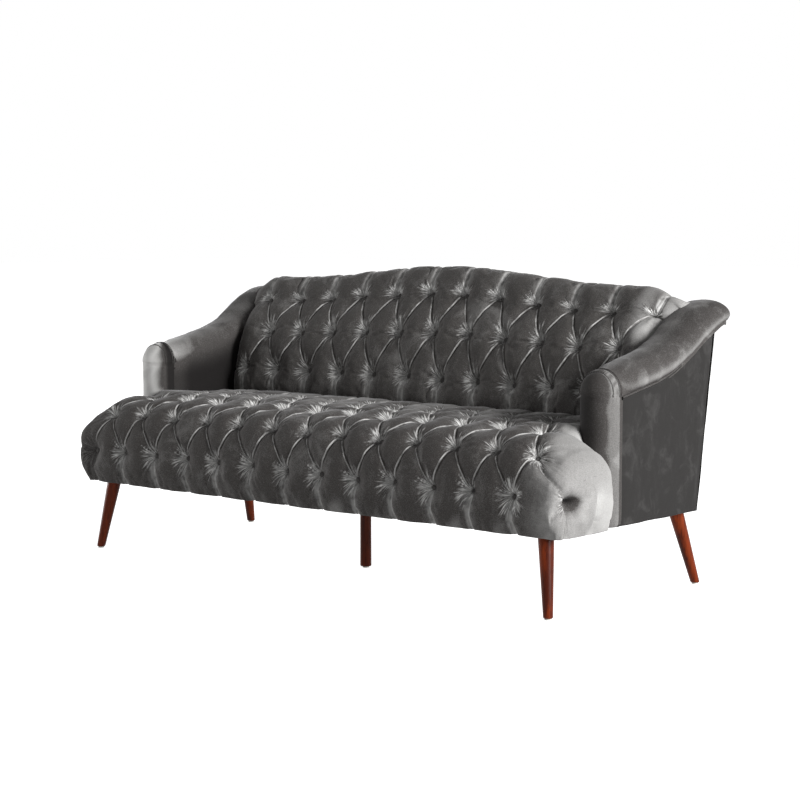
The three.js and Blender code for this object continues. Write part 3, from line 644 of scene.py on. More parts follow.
def gathered_rays(lattice):
    """Ridges that run out from each button, different at each one."""
    strength = (lattice.button / pit_radius) * np.exp(1 - lattice.button / pit_radius)
    total = 0
    for step, count in enumerate(ray_counts):
        phase = (lattice.number * (17 + 5 * step)) % 29 / 29 * 2 * math.pi
        weight = 0.6 + 0.4 * np.sin(lattice.number * (3 + step))
        total = total + weight * np.sin(count * lattice.angle + phase)
    return strength * total / len(ray_counts)


# %% Straight pleats
groove_width = 3.2
twin_groove_offset = 9
twin_groove_width = 3
hollow_width = 14


def straight_pleats(column, row, across, reach, first_row, last_row, drift):
    """Pleats that run straight on from an outer row of buttons, as a depth from 0 to 1.

    Each is a narrow groove with a twin beside it, in a wide soft hollow. drift bends it to one side."""
    nearest = np.clip(4 * np.round((column - 2) / 4) + 2, -reach, reach)
    along = (row - first_row) / (last_row - first_row)
    side = (column - nearest) * across - drift * np.clip(along, 0, 1) ** 2
    reachable = smooth_step((along + 0.02) / 0.22)
    groove = np.exp(-((side / groove_width) ** 2))
    groove = groove + 0.7 * np.exp(-(((side + twin_groove_offset) / twin_groove_width) ** 2))
    groove = groove + 0.55 * np.exp(-np.abs(side) / hollow_width)
    return reachable * groove * (1 - 0.45 * np.clip(along, 0, 1))


# %% [markdown]
# Round each button the velvet gets a ragged silver fan on one side: a painted highlight where the wall of the
# pit faces the key lamp, over cloth that the button gathers. Low on the seat the fan is taller than wide, and
# higher up it is wider. Each pleat gets a painted highlight on a silver rim a little beside it, where the
# cloth is folded over to one side and its rolled edge faces the lamp.

# %% What the velvet has to know
fan_reach = 19
fan_side = 25
fan_fade = 32
fan_raggedness = 3.4
fan_waves = (5, 17, 23, 31, 41)
fan_rows = (0, 2, 4)
fan_flattening = (0.62, 0.68, 1.05)
fan_sizes = (1, 0.88, 1.2)
rim_shift = 0.035
rim_shares = (0.56, 0.72)
straight_rim_share = 0.68


def fan(row, lattice, highlight_side_angle, rounded):
    """How strongly the cloth is gathered round a button and how bright its painted highlight fan is. The
    highlight lies on the side to which the given angle points, or all round where rounded is one."""
    flattening = np.interp(row, fan_rows, fan_flattening)
    distance = np.hypot(lattice.offset[..., 0], lattice.offset[..., 1] * flattening)
    size = np.interp(row, fan_rows, fan_sizes)
    facing = (0.5 + 0.5 * np.cos(lattice.angle - highlight_side_angle)) ** 0.9
    facing = facing + (0.85 - facing) * rounded
    ragged = 0
    for count in fan_waves:
        phase = lattice.number * count % 31 / 31 * 2 * math.pi
        ragged = ragged + np.sin(count * lattice.angle + phase)
    reach = size * (fan_reach + fan_side * facing) + fan_raggedness * ragged
    strength = smooth_step((reach - distance) / fan_fade) * smooth_step((distance - 3) / 5)
    return strength * (0.15 + 1.05 * facing)


def tuft_values(row, lattice, pleats, nap, highlight_side_angle, rounded=0):
    """Everything that the velvet has to know about the tufting, as values of the mesh's points."""
    away = smooth_step((lattice.button - 16) / 10)
    slants = [np.sin(math.pi * (slant + rim_shift)) for slant in (lattice.slant_a, lattice.slant_b)]
    # The edges are painted highlights on the rims of the pleats, kept off the buttons.
    rims = [
        share * away * smooth_step((26 - distance) / 14)
        for share, distance in zip(rim_shares, (lattice.pleat_a, lattice.pleat_b))
    ]
    ray_place = lattice.number * 1.7 + lattice.button / 260
    return {
        "gather": np.clip(fan(row, lattice, highlight_side_angle, rounded) + 0.2 * pleats, 0, 1),
        "spoke": np.stack([np.cos(lattice.angle), np.sin(lattice.angle), ray_place], axis=-1),
        "slant": np.stack([*slants, np.zeros(row.shape)], axis=-1),
        "edges": np.stack([*rims, np.clip(straight_rim_share * pleats, 0, 1)], axis=-1),
        "nap": nap,
    }


# %% [markdown]
# ## Letting the cover settle
#
# A cover worked out by formula is too even. Real cloth is blown out by the wadding under it, hangs a little
# between its fixings, and wrinkles where it has spare length. A coarse copy of the cover is held at its
# buttons, pleats and edges, made a little too large, and simulated as cloth under pressure. Its movement is
# then added to the fine cover, up to a cap. Simulating the fine cover itself would take far longer and lose
# its sharp pleats. The solver stops without a word on edges of no length, and the seat's grid has some at
# its two ends, so every point is nudged a little first.

# %% Cloth on a coarse grid
coarse_step = 4
nudge = 0.15
settling_frames = 14
settling_pressure = 4.5
spare_cloth = 0.02


def settle(points, held, cap):
    """How far each point of a coarse grid moves when its cloth settles, and at most as far as the cap."""
    nudged = points + np.random.default_rng(7).normal(0, nudge, points.shape)
    carrier = grid_mesh("settling", nudged, seat_velvet)
    group = carrier.vertex_groups.new(name="held")
    for weight in (1.0, 0.5):
        chosen = np.flatnonzero(held.ravel() == weight).tolist()
        group.add(chosen, weight, "REPLACE")
    cloth = carrier.modifiers.new("cloth", "CLOTH")
    cloth.settings.quality = 5
    cloth.settings.mass = 0.25
    cloth.settings.tension_stiffness = 12
    cloth.settings.compression_stiffness = 12
    cloth.settings.shear_stiffness = 4
    cloth.settings.bending_stiffness = 0.4
    cloth.settings.vertex_group_mass = "held"
    cloth.settings.use_pressure = True
    cloth.settings.uniform_pressure_force = settling_pressure
    cloth.settings.shrink_min = -spare_cloth
    cloth.settings.effector_weights.gravity = 0
    cloth.collision_settings.use_collision = False
    cloth.point_cache.frame_start = 1
    cloth.point_cache.frame_end = settling_frames
    for number in range(1, settling_frames + 1):
        bpy.context.scene.frame_set(number)
    shaped = carrier.evaluated_get(bpy.context.evaluated_depsgraph_get())
    moved = np.empty(points.size, np.float32)
    shaped.data.vertices.foreach_get("co", moved)
    moved = moved.reshape(points.shape) / MILLIMETRE - nudged
    bpy.data.objects.remove(carrier)
    bpy.context.scene.frame_set(1)
    distance = np.linalg.norm(moved, axis=-1, keepdims=True)
    print("settled by", round(float(distance.mean()), 2), "to", round(float(distance.max()), 2), "mm")
    return moved * np.minimum(1, cap / np.maximum(distance, 1e-9))


def refine(coarse, coarse_rows, coarse_columns, rows, columns):
    """Reads a coarse grid's movement at the lines of the fine grid."""
    row_place = np.interp(rows, coarse_rows, np.arange(len(coarse_rows)))
    column_place = np.interp(columns, coarse_columns, np.arange(len(coarse_columns)))
    r = np.clip(row_place.astype(int), 0, len(coarse_rows) - 2)
    c = np.clip(column_place.astype(int), 0, len(coarse_columns) - 2)
    u = (row_place - r)[:, None, None]
    v = (column_place - c)[None, :, None]
    top = coarse[r][:, c] * (1 - v) + coarse[r][:, c + 1] * v
    bottom = coarse[r + 1][:, c] * (1 - v) + coarse[r + 1][:, c + 1] * v
    return top * (1 - u) + bottom * u


# %% Covers
cover_swell = 4
cover_noise = 1.6
button_stand = 4.5


def outwards(points, normal, middle):
    """Turns normals so that they look away from a point in the middle of the piece."""
    inward = np.sum((points - middle) * normal, axis=-1) < 0
    return np.where(inward[..., None], -normal, normal)


def button_places(shape, normal, lattice):
    """Where the cover is drawn in the most, at each button, and the direction that the button faces."""
    places, facings = [], []
    for one in np.unique(lattice.number[lattice.button < 6]):
        near = np.where(lattice.number == one, lattice.button, far_away)
        spot = np.unravel_index(np.argmin(near), near.shape)
        places.append(shape[spot] + normal[spot] * button_stand)
        facings.append(normal[spot])
    return np.array(places), np.array(facings)


def cover_grid(surface, tufts, columns, places, middle, cap, hold_edges=None):
    """A tufted cover: a plain surface, its tufts, and the movement of its settling."""
    base = surface(columns, places)
    normal = outwards(base, grid_normals(base), middle)
    depth, values, lattice = tufts(columns, places)
    shape = base - normal * depth[..., None]
    every = slice(None, None, coarse_step)
    rough = shape[every, every]
    held = np.zeros(rough.shape[:2])
    held[np.minimum(lattice.pleat_a, lattice.pleat_b)[every, every] < 9] = 0.5
    held[lattice.button[every, every] < 14] = 1
    held[:, :1] = held[:, -1:] = 1
    held[:1] = held[-1:] = 1
    if hold_edges is not None:
        held[hold_edges(rough)] = 1
    movement = settle(rough, held, cap)
    shape = shape + refine(movement, columns[every], places[every], columns, places)
    uneven = cover_noise * wobble(base, 90, 11) + 0.5 * wobble(base, 28, 12)
    shape = shape + normal * uneven[..., None]
    return shape, normal, values, button_places(shape, normal, lattice)


# %% [markdown]
# ## The seat
#
# The seat's section runs from its lower front edge up the round front, over the crown and back to the foot
# of the back. Swept along the seat it makes the middle. At each end the section turns round a large corner,
# and behind that corner lies the ear, which has a rear side of its own in front of the arm. Both sections
# have the same number of points, so one can turn into the other between the last buttons and the ear.
#
# The crown lies a little lower than the solid's behind the second row of buttons. The two ends differ, as
# hand work does: the left one is tucked further under and is a little fuller, and a deep hollow beside the
# last button shows only on the right.

# %% Seat sections
seat_line = [
    (0.036, 0),
    (0.006, 0.16),
    (0, 0.335),
    (0.032, 0.614),
    (0.111, 0.818),
    (0.225, 0.93),
    (0.362, 0.985),
    (0.463, 0.998),
    (0.563, 1),
    (0.666, 0.993),
    (0.767, 0.978),
    (0.88, 0.956),
    (0.975, 0.93),
    (0.992, 0.84),
]
ear_line = [
    (-360, 206),
    (-375, 249),
    (-378, 296),
    (-362, 372),
    (-322, 425),
    (-265, 447),
    (-210, 446),
    (-172, 432),
    (-148, 404),
    (-140, 355),
    (-138, 305),
    (-138, 262),
    (-139, 232),
    (-143, 206),
]
middle_section = [(seat_front + y * seat_depth, underside_height + z * seat_thickness) for y, z in seat_line]
end_depths = [-348, -342, -333, -322, -300, -268, -236, -208, -184, -169, -163, -161, -162, -165]
assert len(seat_line) == len(ear_line) == len(end_depths)

# %% Seat corners and crown
seat_reach = (26, 24, 22, 20, 22)
end_column = 28
closing_columns = 2
corner_radius = 45
corner_roundness = 0.85
flat_half = seat_half_width - corner_radius
corner_columns = (24, 25, 26, 27, 28)
corner_runs = (0, 40, 80, 110, 139)
ear_start = 19
ear_start_shift = 4.6
ear_finish = 23.8
ear_finish_shift = 0.9
ear_middle = (-238, 300)
ear_crown = 7
shoulder_widths = (764, 797, 828, 858, 885, 893)
shoulder_heights = (448, 440, 424, 406, 380, 352)
crown_drops = (0, 0, 13, 14, 13, 6)
crown_places = (0, 3.9, 5.4, 7, 10, 12)
end_drop_depth = 9
tuck_height = 95
tuck_depths = {"left": 0.85, "right": 0.3}
tuck_bends = {"left": 2.4, "right": 1.6}
left_fullness = 13
left_fullness_height = 352


def seat_surface(columns, places):
    """The seat without its tufts, as a grid of columns and places along the section."""
    column, place = np.meshgrid(columns, places, indexing="ij")
    across = np.minimum(np.abs(column), end_column)
    run = np.interp(across, corner_columns, corner_runs)
    flat_run = flat_half - corner_columns[0] * tuft_pitch / 4
    angle = np.clip((run - flat_run) / corner_radius, 0, math.pi / 2)
    along = flat_half - flat_run + np.minimum(run, flat_run)
    along = np.where(across < corner_columns[0], across * tuft_pitch / 4, along)

    # Towards the ends the middle section turns into the ear, further out behind than in front.
    behind = smooth_step((place - 6) / 1.2)
    start = ear_start + ear_start_shift * behind
    finish = ear_finish + ear_finish_shift * behind
    share = smooth_step((across - start) / (finish - start))[..., None]
    section = curve_through(middle_section, place) * (1 - share) + curve_through(ear_line, place) * share
    y, z = section[..., 0], section[..., 1]
    end_drop = end_drop_depth * smooth_step((across - 17) / 6)
    end_drop = end_drop * smooth_step((place - 6.5) / 2) * smooth_step((13 - place) / 2)
    z = z - (np.interp(place, crown_places, crown_drops) + end_drop) * (1 - share[..., 0])
    end_depth = np.interp(place, np.arange(len(end_depths)), end_depths)
    y = y + (end_depth - y) * (1 - np.cos(angle) ** corner_roundness)

    # The ear's top falls towards its outer end, and the corner's lower edge is tucked under.
    fall = np.interp(along + corner_radius * np.sin(angle), shoulder_widths, shoulder_heights)
    fall = (fall - underside_height) / (shoulder_heights[0] - underside_height)
    top = smooth_step((place - 1.5) / 2.5) * (1 - smooth_step((place - 8.5) / 2.5)) * share[..., 0]
    z = underside_height + (z - underside_height) * (1 + (fall - 1) * top)
    rise = np.clip((z - underside_height) / tuck_height, 0, 1)
    tuck_depth = np.where(column < 0, tuck_depths["left"], tuck_depths["right"])
    tuck = tuck_depth * (1 - rise) ** np.where(column < 0, tuck_bends["left"], tuck_bends["right"])
    x = along + corner_radius * np.sin(angle) ** corner_roundness * (1 - tuck)

    # The last columns close the end by running to one line in its middle.
    closing = np.clip((np.abs(column) - end_column) / closing_columns, 0, 1)
    crown = ear_crown * np.sin(math.pi / 2 * closing) * smooth_step((z - underside_height) / 60)
    y = y + (ear_middle[0] - y) * closing
    z = z + (np.minimum(z, ear_middle[1]) - z) * closing
    fuller = np.exp(-(((z - left_fullness_height) / 42) ** 2)) * (column < 0)
    x = x + crown + left_fullness * fuller * smooth_step((across - 25) / 3)
    return np.stack([np.sign(column) * x, y, z], axis=-1)


# %% [markdown]
# The grid lines crowd together at the rows and columns of buttons, where the cloth bends most. The whole
# lattice lies a little to the right of the middle, and no row is quite straight, as in any hand tufted
# seat. Towards both ends the folds grow shallow, so that the ears are smooth.

# %% Seat tufts
seat_columns = grid_lines(-30, 30, 2, 24)
seat_places = np.concatenate([grid_lines(0, 12, 2, 34), np.linspace(12, 13, 9)[1:]])
seat_fold_depth = 15
seat_button_depth = 35
front_pleat_depth = 7.5
rear_pleat_depth = 6
hollow_depth = 17
ear_painted_light = 0.24
lattice_shift = 0.32
row_places = (0, 2, 3.72, 5.8, 7.85, 10, 13)
row_counts = (-2, 0, 2, 4, 6, 8, 11)
seat_highlight_rows = (0, 2, 4, 8)
seat_highlight_angles = (182, 140, 160, 160)


def seat_tufts(columns, places):
    """Depth of the seat's tufting, the values that its velvet needs, and its lattice."""
    column, place = np.meshgrid(columns, places, indexing="ij")
    row = np.interp(place, row_places, row_counts)
    bent = np.stack([column, row, column * 0], axis=-1)
    column = column + 1.4 * np.sign(column) * np.maximum(np.abs(column) - end_column, 0)
    # The first row lies further right than the others, most of all at the right corner, and a little higher.
    low = 1 - smooth_step(row / 2)
    round_corner = smooth_step((column - 22.8) / 5)
    column = column - lattice_shift - (0.45 + 1.15 * round_corner) * low + 0.13 * wobble(bent, 7, 3)
    row = row - 0.12 * low + 0.08 * wobble(bent, 6, 4)

    # Round the corners the counts are taken as shorter, which makes the pits and folds wider there.
    corner = smooth_step((np.abs(column) - corner_columns[0]) / 2)
    across = tuft_pitch / 4 * (1 - 0.3 * corner)
    step = 0.25
    run = curve_through(middle_section, place + step) - curve_through(middle_section, place - step)
    along = np.clip(np.linalg.norm(run, axis=-1) / (2 * step), 40, 75) * (1 - 0.3 * corner)
    lattice = find_lattice(column, row, across, along, seat_reach)

    fold_depth = seat_fold_depth * (1 - 0.8 * smooth_step((np.abs(column) - 24.4) / 1.4))
    depth = tuft_depth(lattice, fold_depth, seat_button_depth + 4 * smooth_step((row - 2) / 2))
    # The hollow lies just outside the last button of the first row, on the right.
    beside = lattice.offset[..., 0] * np.sign(column)
    hollow = np.exp(-(((beside - 15) / 19) ** 2) - (lattice.offset[..., 1] / 15) ** 2)
    hollow = (column > 0) * corner * low * hollow
    depth = depth + hollow_depth * hollow
    depth = depth + ray_depth * gathered_rays(lattice)
    front = straight_pleats(column, row, across, seat_reach[0], 0, -2.2, 6)
    rear = straight_pleats(column, row, across, seat_reach[-1], 8, 11, 4)
    depth = depth + front_pleat_depth * front + rear_pleat_depth * rear - cover_swell

    # The hem has random silver patches. The silver on the right ear and on the crown is painted light, and
    # the dark in the hollow is painted shade.
    hem_light = smooth_step((1.5 - place) / 1.2) * np.clip(wobble(bent, 2.2, 9), 0, 1)
    hem_light = hem_light * smooth_step((column + 14) / 20)
    ear_light = smooth_step((column + 1.1 * wobble(bent, 4, 8) - 22.5) / 2.6)
    nap = 0.22 * hem_light + ear_painted_light * ear_light * (1 - hollow) - 0.75 * hollow
    nap = nap + 0.12 * smooth_step((row - 3) / 3) * (1 + wobble(bent, 5, 12))
    # The painted highlight fans turn their side with the row, go all round near the right corner, and fade at
    # the ends, as do the painted rims.
    highlight_side_angle = np.radians(np.interp(row, seat_highlight_rows, seat_highlight_angles))
    rounded = smooth_step((column - 20.2) / 1.2) * (1 - smooth_step((column - 25) / 0.8))
    values = tuft_values(row, lattice, front + rear, nap, highlight_side_angle, rounded)
    plain = 1 - 0.85 * smooth_step((np.abs(column) - 25) / 0.8)
    values["gather"] = values["gather"] * plain
    values["edges"] = values["edges"] * plain[..., None]
    return depth, values, lattice


# %% [markdown]
# The faces that would lie inside the arms are left out, and the edges there are held while the cover
# settles, because the real cloth is pinched between seat and arm. The lower edge is turned under as a hem.

# %% Seat cover
seat_middle = (0, -130, 250)
seat_cap = 4.5
arm_margin = 7


def inside_arm(points):
    """True for points that lie inside an arm."""
    x, y = np.abs(points[..., 0]), points[..., 1]
    side = np.clip(x - column_centre, -column_radius, column_radius)
    round_front = arm_front - np.sqrt(column_radius**2 - side**2)
    return (x > arm_inner + arm_margin) & (x < arm_outer - arm_margin) & (y > round_front + arm_margin)


shape, normal, values, seat_button_places = cover_grid(
    seat_surface, seat_tufts, seat_columns, seat_places, seat_middle, seat_cap, hold_edges=inside_arm
)
hem = shape[:, :1] - normal[:, :1] * (18, 18, 0) + (0, 0, 2)
rear_hem = shape[:, -1:] - normal[:, -1:] * (14, 14, 0) + (0, 0, 1)
shape = np.concatenate([hem, shape, rear_hem], axis=1)
for title, value in values.items():
    values[title] = np.concatenate([value[:, :1], value, value[:, -1:]], axis=1)
hidden = inside_arm(shape)
all_hidden = hidden[:-1, :-1] & hidden[1:, :-1] & hidden[1:, 1:] & hidden[:-1, 1:]
seat_cover = weld(grid_mesh("seat_tufted_cover", shape, seat_velvet, keep=~all_hidden, values=values))
settled(seat_cover, "velvet", "seat_cover")

# %% [markdown]
# ## The back
#
# The back's section starts at the seat, leans back, and rolls over the top to the outside back. The top
# follows the camel line, which falls from the middle to the shoulders, and falls a little further near its
# ends, where the corners are rounded off. At both ends the upper part spreads over the arms' scrolls, as
# the cloth does on the real one. Each point of the line below says how far in front of the rear plane it
# lies, how high it is between the seat and the top, and how much it follows the camel line.

# %% Back surface
back_line = [
    (1, 0, 0),
    (1.03, 0.102, 0),
    (1.02, 0.213, 0),
    (0.98, 0.36, 0.05),
    (0.9, 0.513, 0.15),
    (0.79, 0.64, 0.3),
    (0.63, 0.767, 0.5),
    (0.565, 0.868, 0.8),
    (0.4, 0.985, 1),
    (0.27, 1, 1),
    (0.1, 0.977, 1),
    (-0.025, 0.925, 1),
]
back_front = 181
back_rise = back_height - back_low_edge
back_reach = (22, 20, 22)
back_end_column = 24
back_cap_columns = 2
back_cap_drop = 62
back_cap_spread = 14
back_end_round = 74
end_fall = 34
end_fall_start = 676
end_fall_run = 100
wing_spread = 34
wing_run = 164
wing_shares = [0, 0, 0, 0, 0, 0.1, 0.35, 0.8, 1, 1, 1, 1]
round_shares = [1, 1, 1, 1, 1, 1, 1, 0.8, 0.6, 0.2, 0, 0]
assert len(back_line) == len(wing_shares) == len(round_shares)


def shoulder_fall(x):
    """How much lower the back's top is near its ends, where it rounds off."""
    return end_fall * smooth_step((np.abs(x) - end_fall_start) / end_fall_run)


def back_surface(columns, places):
    """The back without its tufts, as a grid of columns and places along the section."""
    column, place = np.meshgrid(columns, places, indexing="ij")
    reach = np.minimum(np.abs(column), back_end_column)
    last = back_reach[0]
    end_share = np.clip((reach - last) / (back_end_column - last), 0, 1)
    x = np.minimum(reach, last) * tuft_pitch / 4
    x = x + (arm_inner - x) * end_share * (reach > last)
    line = curve_through(back_line, place)
    height = back_low_edge + line[..., 1] * back_rise - line[..., 2] * camel_fall(x)
    height = height - shoulder_fall(x) * smooth_step((place - 4.5) / 3)
    y = rear_plane(height) - line[..., 0] * back_front

    # The direction out of the surface, from two places close to each other on the line.
    step = 0.02
    ahead, before = curve_through(back_line, place + step), curve_through(back_line, place - step)
    run_z = (ahead[..., 1] - before[..., 1]) * back_rise - (ahead[..., 2] - before[..., 2]) * camel_fall(x)
    run_y = lean * run_z - (ahead[..., 0] - before[..., 0]) * back_front
    size = np.hypot(run_y, run_z)
    out_y, out_z = -run_z / size, run_y / size

    # The ends are rounded inwards, the wings spread outwards, and the last columns close the ends.
    corner = np.clip((x - (arm_inner - back_end_round)) / back_end_round, 0, 1)
    inset = back_end_round * (1 - np.sqrt(1 - corner**2 * 0.999))
    inset = inset * np.interp(place, np.arange(len(round_shares)), round_shares)
    wing = np.clip((x - arm_inner) / wing_run + 1, 0, None) ** 2
    spread = wing * wing_spread * np.interp(place, np.arange(len(wing_shares)), wing_shares)
    cap = np.clip((np.abs(column) - back_end_column) / back_cap_columns, 0, 1)
    inset = inset + back_cap_drop * cap**1.6
    spread = spread + back_cap_spread * np.sin(math.pi / 2 * cap)
    return np.stack([np.sign(column) * (x + spread), y - out_y * inset, height - out_z * inset], axis=-1)


# %% [markdown]
# The back's rows of buttons rise a little towards the middle, with the camel line, and at the right end.
# The right wing gets ragged streaks of painted light, where it faces the lamp.

# %% Back tufts
back_columns = grid_lines(-26, 26, 2, 24)
back_places = np.concatenate([grid_lines(0, 10, 2, 34), np.linspace(10, 11, 13)[1:]])
back_fold_depth = 14
back_button_depth = 35
back_row_height = 57.0
back_lattice_shift = 0.8
back_row_rise = 0.26
lower_pleat_depth = 7.5
upper_pleat_depth = 8.5
wing_painted_light = 0.32


def back_tufts(columns, places):
    """Depth of the back's tufting, the values that its velvet needs, and its lattice."""
    column, place = np.meshgrid(columns, places, indexing="ij")
    row = np.interp(place, (0, 2, 4, 6.35, 10, 11), (-2, 0, 2, 4, 8, 9))
    bent = np.stack([column, row, column * 0 + 50], axis=-1)
    shift = back_lattice_shift * np.interp(np.abs(column), (0, 22, 26), (1, 1, 0.6))
    column = column - shift + 0.13 * wobble(bent, 7, 5)
    high = 1 - camel_fall(column * tuft_pitch / 4) / camel_drop
    high = np.maximum(high, smooth_step((column - 18.5) / 3))
    row = row - back_row_rise * np.clip(row / 2, 0, 1) * high + 0.08 * wobble(bent, 6, 6)
    across = tuft_pitch / 4
    lattice = find_lattice(column, row, across, back_row_height, back_reach)

    depth = tuft_depth(lattice, back_fold_depth, back_button_depth)
    depth = depth + ray_depth * gathered_rays(lattice)
    lower = straight_pleats(column, row, across, back_reach[0], 0, -2.2, 3)
    upper = straight_pleats(column, row, across, back_reach[-1], 4, 9, 0)
    depth = depth + lower_pleat_depth * lower + upper_pleat_depth * upper - cover_swell

    # Painted light in ragged streaks on the right wing.
    streaks = wobble(bent * (1, 0.3, 1), 1.6, 17)
    wing_light = smooth_step((column - 19.6 + 1.3 * streaks) / 3) * smooth_step((place - 3.4) / 2)
    highlight_side_angle = np.radians(np.interp(row, (0, 2, 4), (190, 158, 120)))
    values = tuft_values(row, lattice, lower + upper, wing_painted_light * wing_light, highlight_side_angle)
    return depth, values, lattice


# %% [markdown]
# Below the shoulders the cover's ends would swing out behind the outside back as they turn in. There they
# are kept from passing its rear plane by more than two millimetres.

# %% Back cover
back_middle = (0, 330, 600)
back_cap = 7
rear_margin = 2

shape, _, values, back_button_places = cover_grid(
    back_surface, back_tufts, back_columns, back_places, back_middle, back_cap
)
behind_wing = (np.abs(shape[..., 0]) > arm_inner) & (shape[..., 2] < shoulder_height)
farthest = rear_plane(shape[..., 2]) + rear_margin
shape[..., 1] = np.where(behind_wing, np.minimum(shape[..., 1], farthest), shape[..., 1])
back_cover = weld(grid_mesh("back_tufted_cover", shape, back_velvet, values=values))
settled(back_cover, "velvet", "back_cover")

# %% [markdown]
# ## Buttons
#
# Each button is a small dome covered in the same velvet. Its cloth is tucked under its rim. A lathe and
# copies would do for one, but each button faces its own way, so the rings are worked out round its own
# axis. The domes are one mesh for the seat and one for the back, because they never move on their own.

# %% Buttons
button_radius = 9.5
button_sides = 20
button_profile = [(0, 4.6), (0.35, 4.2), (0.68, 2.9), (0.9, 1.0), (1.0, -1.2), (0.92, -3.2), (0.6, -4.2)]


def make_buttons(name, places, facings):
    """One mesh of many buttons, each a set of rings round the direction that it faces."""
    points, faces = [], []
    for place, facing in zip(places, facings):
        side = np.cross(facing, (0, 0, 1.0))
        side /= np.linalg.norm(side)
        other = np.cross(facing, side)
        start = len(points)
        points.append(place + facing * button_profile[0][1])
        for radius_share, rise in button_profile[1:]:
            for step in range(button_sides):
                angle = 2 * math.pi * step / button_sides
                around = side * math.cos(angle) + other * math.sin(angle)
                points.append(place + around * radius_share * button_radius + facing * rise)
        for step in range(button_sides):
            follows = (step + 1) % button_sides
            faces.append((start, start + 1 + step, start + 1 + follows))
            for ring in range(len(button_profile) - 2):
                inner = start + 1 + ring * button_sides
                outer = inner + button_sides
                faces.append((inner + step, outer + step, outer + follows, inner + follows))
    mesh = bpy.data.meshes.new(name)
    mesh.from_pydata((np.array(points) * MILLIMETRE).tolist(), [], faces)
    mesh.materials.append(button_velvet)
    mesh.polygons.foreach_set("use_smooth", np.ones(len(mesh.polygons), bool))
    piece = bpy.data.objects.new(name, mesh)
    bpy.context.scene.collection.objects.link(piece)
    return weld(piece)


settled(make_buttons("seat_buttons", *seat_button_places), "velvet")
settled(make_buttons("back_buttons", *back_button_places), "velvet")
print("buttons:", len(seat_button_places[0]), "and", len(back_button_places[0]))

# %% [markdown]
# ## The arms
#
# The arm has one sleeve of cloth that starts under the scroll on the outside, goes over the top and down
# the inside to the seat. Its front is closed by a half round column whose cloth domes over the top and
# meets the sleeve in an arched seam. Behind, the sleeve ends in a gathered knob. Both arms have the same
# shape, but each has its own painted light and shade: the right one's front is painted dark and grows
# lighter towards the outside, where the key lamp falls, and the left one has a painted bright front and a
# painted dark inside.

# %% Arm lines
arm_line = [
    (0, 0, 1),
    (0.16, 0.086, 1),
    (0.34, 0.2, 1.04),
    (0.48, 0.315, 1.02),
    (0.6, 0.457, 0.98),
    (0.717, 0.673, 1),
    (0.815, 0.852, 0.98),
    (0.9, 0.951, 0.9),
    (0.975, 1, 0.8),
    (1, 1, 0.78),
]
roll_thickness = 67
roll_inner = 757
roll_outer = 902
roll_section = [
    (0.925, -0.2),
    (0.93, 0),
    (0.965, 0.08),
    (1, 0.34),
    (0.93, 0.66),
    (0.77, 0.9),
    (0.56, 1),
    (0.34, 0.99),
    (0.15, 0.88),
    (0.04, 0.64),
    (0, 0.3),
    (0.035, -0.15),
]
sleeve_foot = 425
dome_height = 547
arch_run = 60
tuck_start = 215
tuck_run = 90
arm_run = scroll_rear - arm_front
knob_rings = [
    (5, 1.02),
    (9, 1.0),
    (13, 0.93),
    (15, 0.82),
    (14.5, 0.74),
    (16, 0.66),
    (16, 0.5),
    (14, 0.42),
    (15, 0.36),
    (15, 0.16),
    (13, 0.02),
]


def arm_top_and_low(y):
    """Heights of the scroll's top and of its lower edge, along the arm."""
    share = (np.asarray(y, float) - arm_front) / arm_run
    stops = [stop[0] for stop in arm_line]
    place = np.interp(share, stops, np.arange(len(stops)))
    line = curve_through(arm_line, place)
    top = arm_front_height + line[..., 1] * arm_rise
    return top, top - line[..., 2] * roll_thickness


def sleeve_section(y):
    """One cut through the sleeve of the right arm, from under the scroll over the top to the seat."""
    top, low = (float(value) for value in arm_top_and_low(y))
    along = (y - arm_front) / arm_run
    # The scroll grows wider towards the rear as it rises.
    outer = arm_outer + 5 + (roll_outer - arm_outer + 2) * max(along, 0) ** 2
    roll = np.array([(roll_inner + (outer - roll_inner) * a, low + (top - low) * b) for a, b in roll_section])
    # At the very front it starts as the arch of the column's dome.
    angles = np.linspace(-0.12, 1.0, len(roll_section)) * math.pi
    arch = np.stack(
        [
            column_centre + (column_radius + 0.5) * np.cos(angles),
            dome_height + (arm_front_height - dome_height) * np.sin(angles),
        ],
        axis=-1,
    )
    arch[-1] = (arm_inner, dome_height - 14)
    roll = arch + (roll - arch) * float(smooth_step((y - arm_front) / arch_run))
    # The inside wall goes down to the seat. Where the back covers it, it turns in under the scroll instead.
    wall_top = roll[-1][1]
    wall = np.array([(arm_inner, wall_top + (sleeve_foot - wall_top) * share) for share in (0.35, 0.7, 1)])
    under = np.array([(790, low - 1.5), (830, low - 2.5), (868, low - 1)])
    tucked = float(smooth_step((y - tuck_start) / tuck_run))
    wall = wall + (under - wall) * tucked
    return np.vstack([roll, wall])


def sleeve_grid():
    """The whole sleeve of the right arm, with the knob behind it."""
    stations = np.linspace(arm_front, scroll_rear - 16, 150)
    across = np.linspace(0, len(roll_section) + 2, 130)
    rings = []
    for y in stations:
        section = curve_through(sleeve_section(y), across)
        rings.append(np.column_stack([section[:, 0], np.full(len(section), y), section[:, 1]]))
    last = rings[-1]
    centre = np.array([(roll_inner + roll_outer) / 2, 0, np.mean(arm_top_and_low(scroll_rear))])
    for back_step, size in knob_rings:
        ring = centre + (last - centre) * size
        ring[:, 1] = last[:, 1] + back_step
        rings.append(ring)
    return np.array(rings)


# %% [markdown]
# The front is a half round wall with a dome over it. Two seams with a row of small puckers between them lie
# on the dome, a sagging crease crosses below it, and the cloth turns in at its foot. Its painted light and
# shade are worked out from the angle round the column, once for each arm.

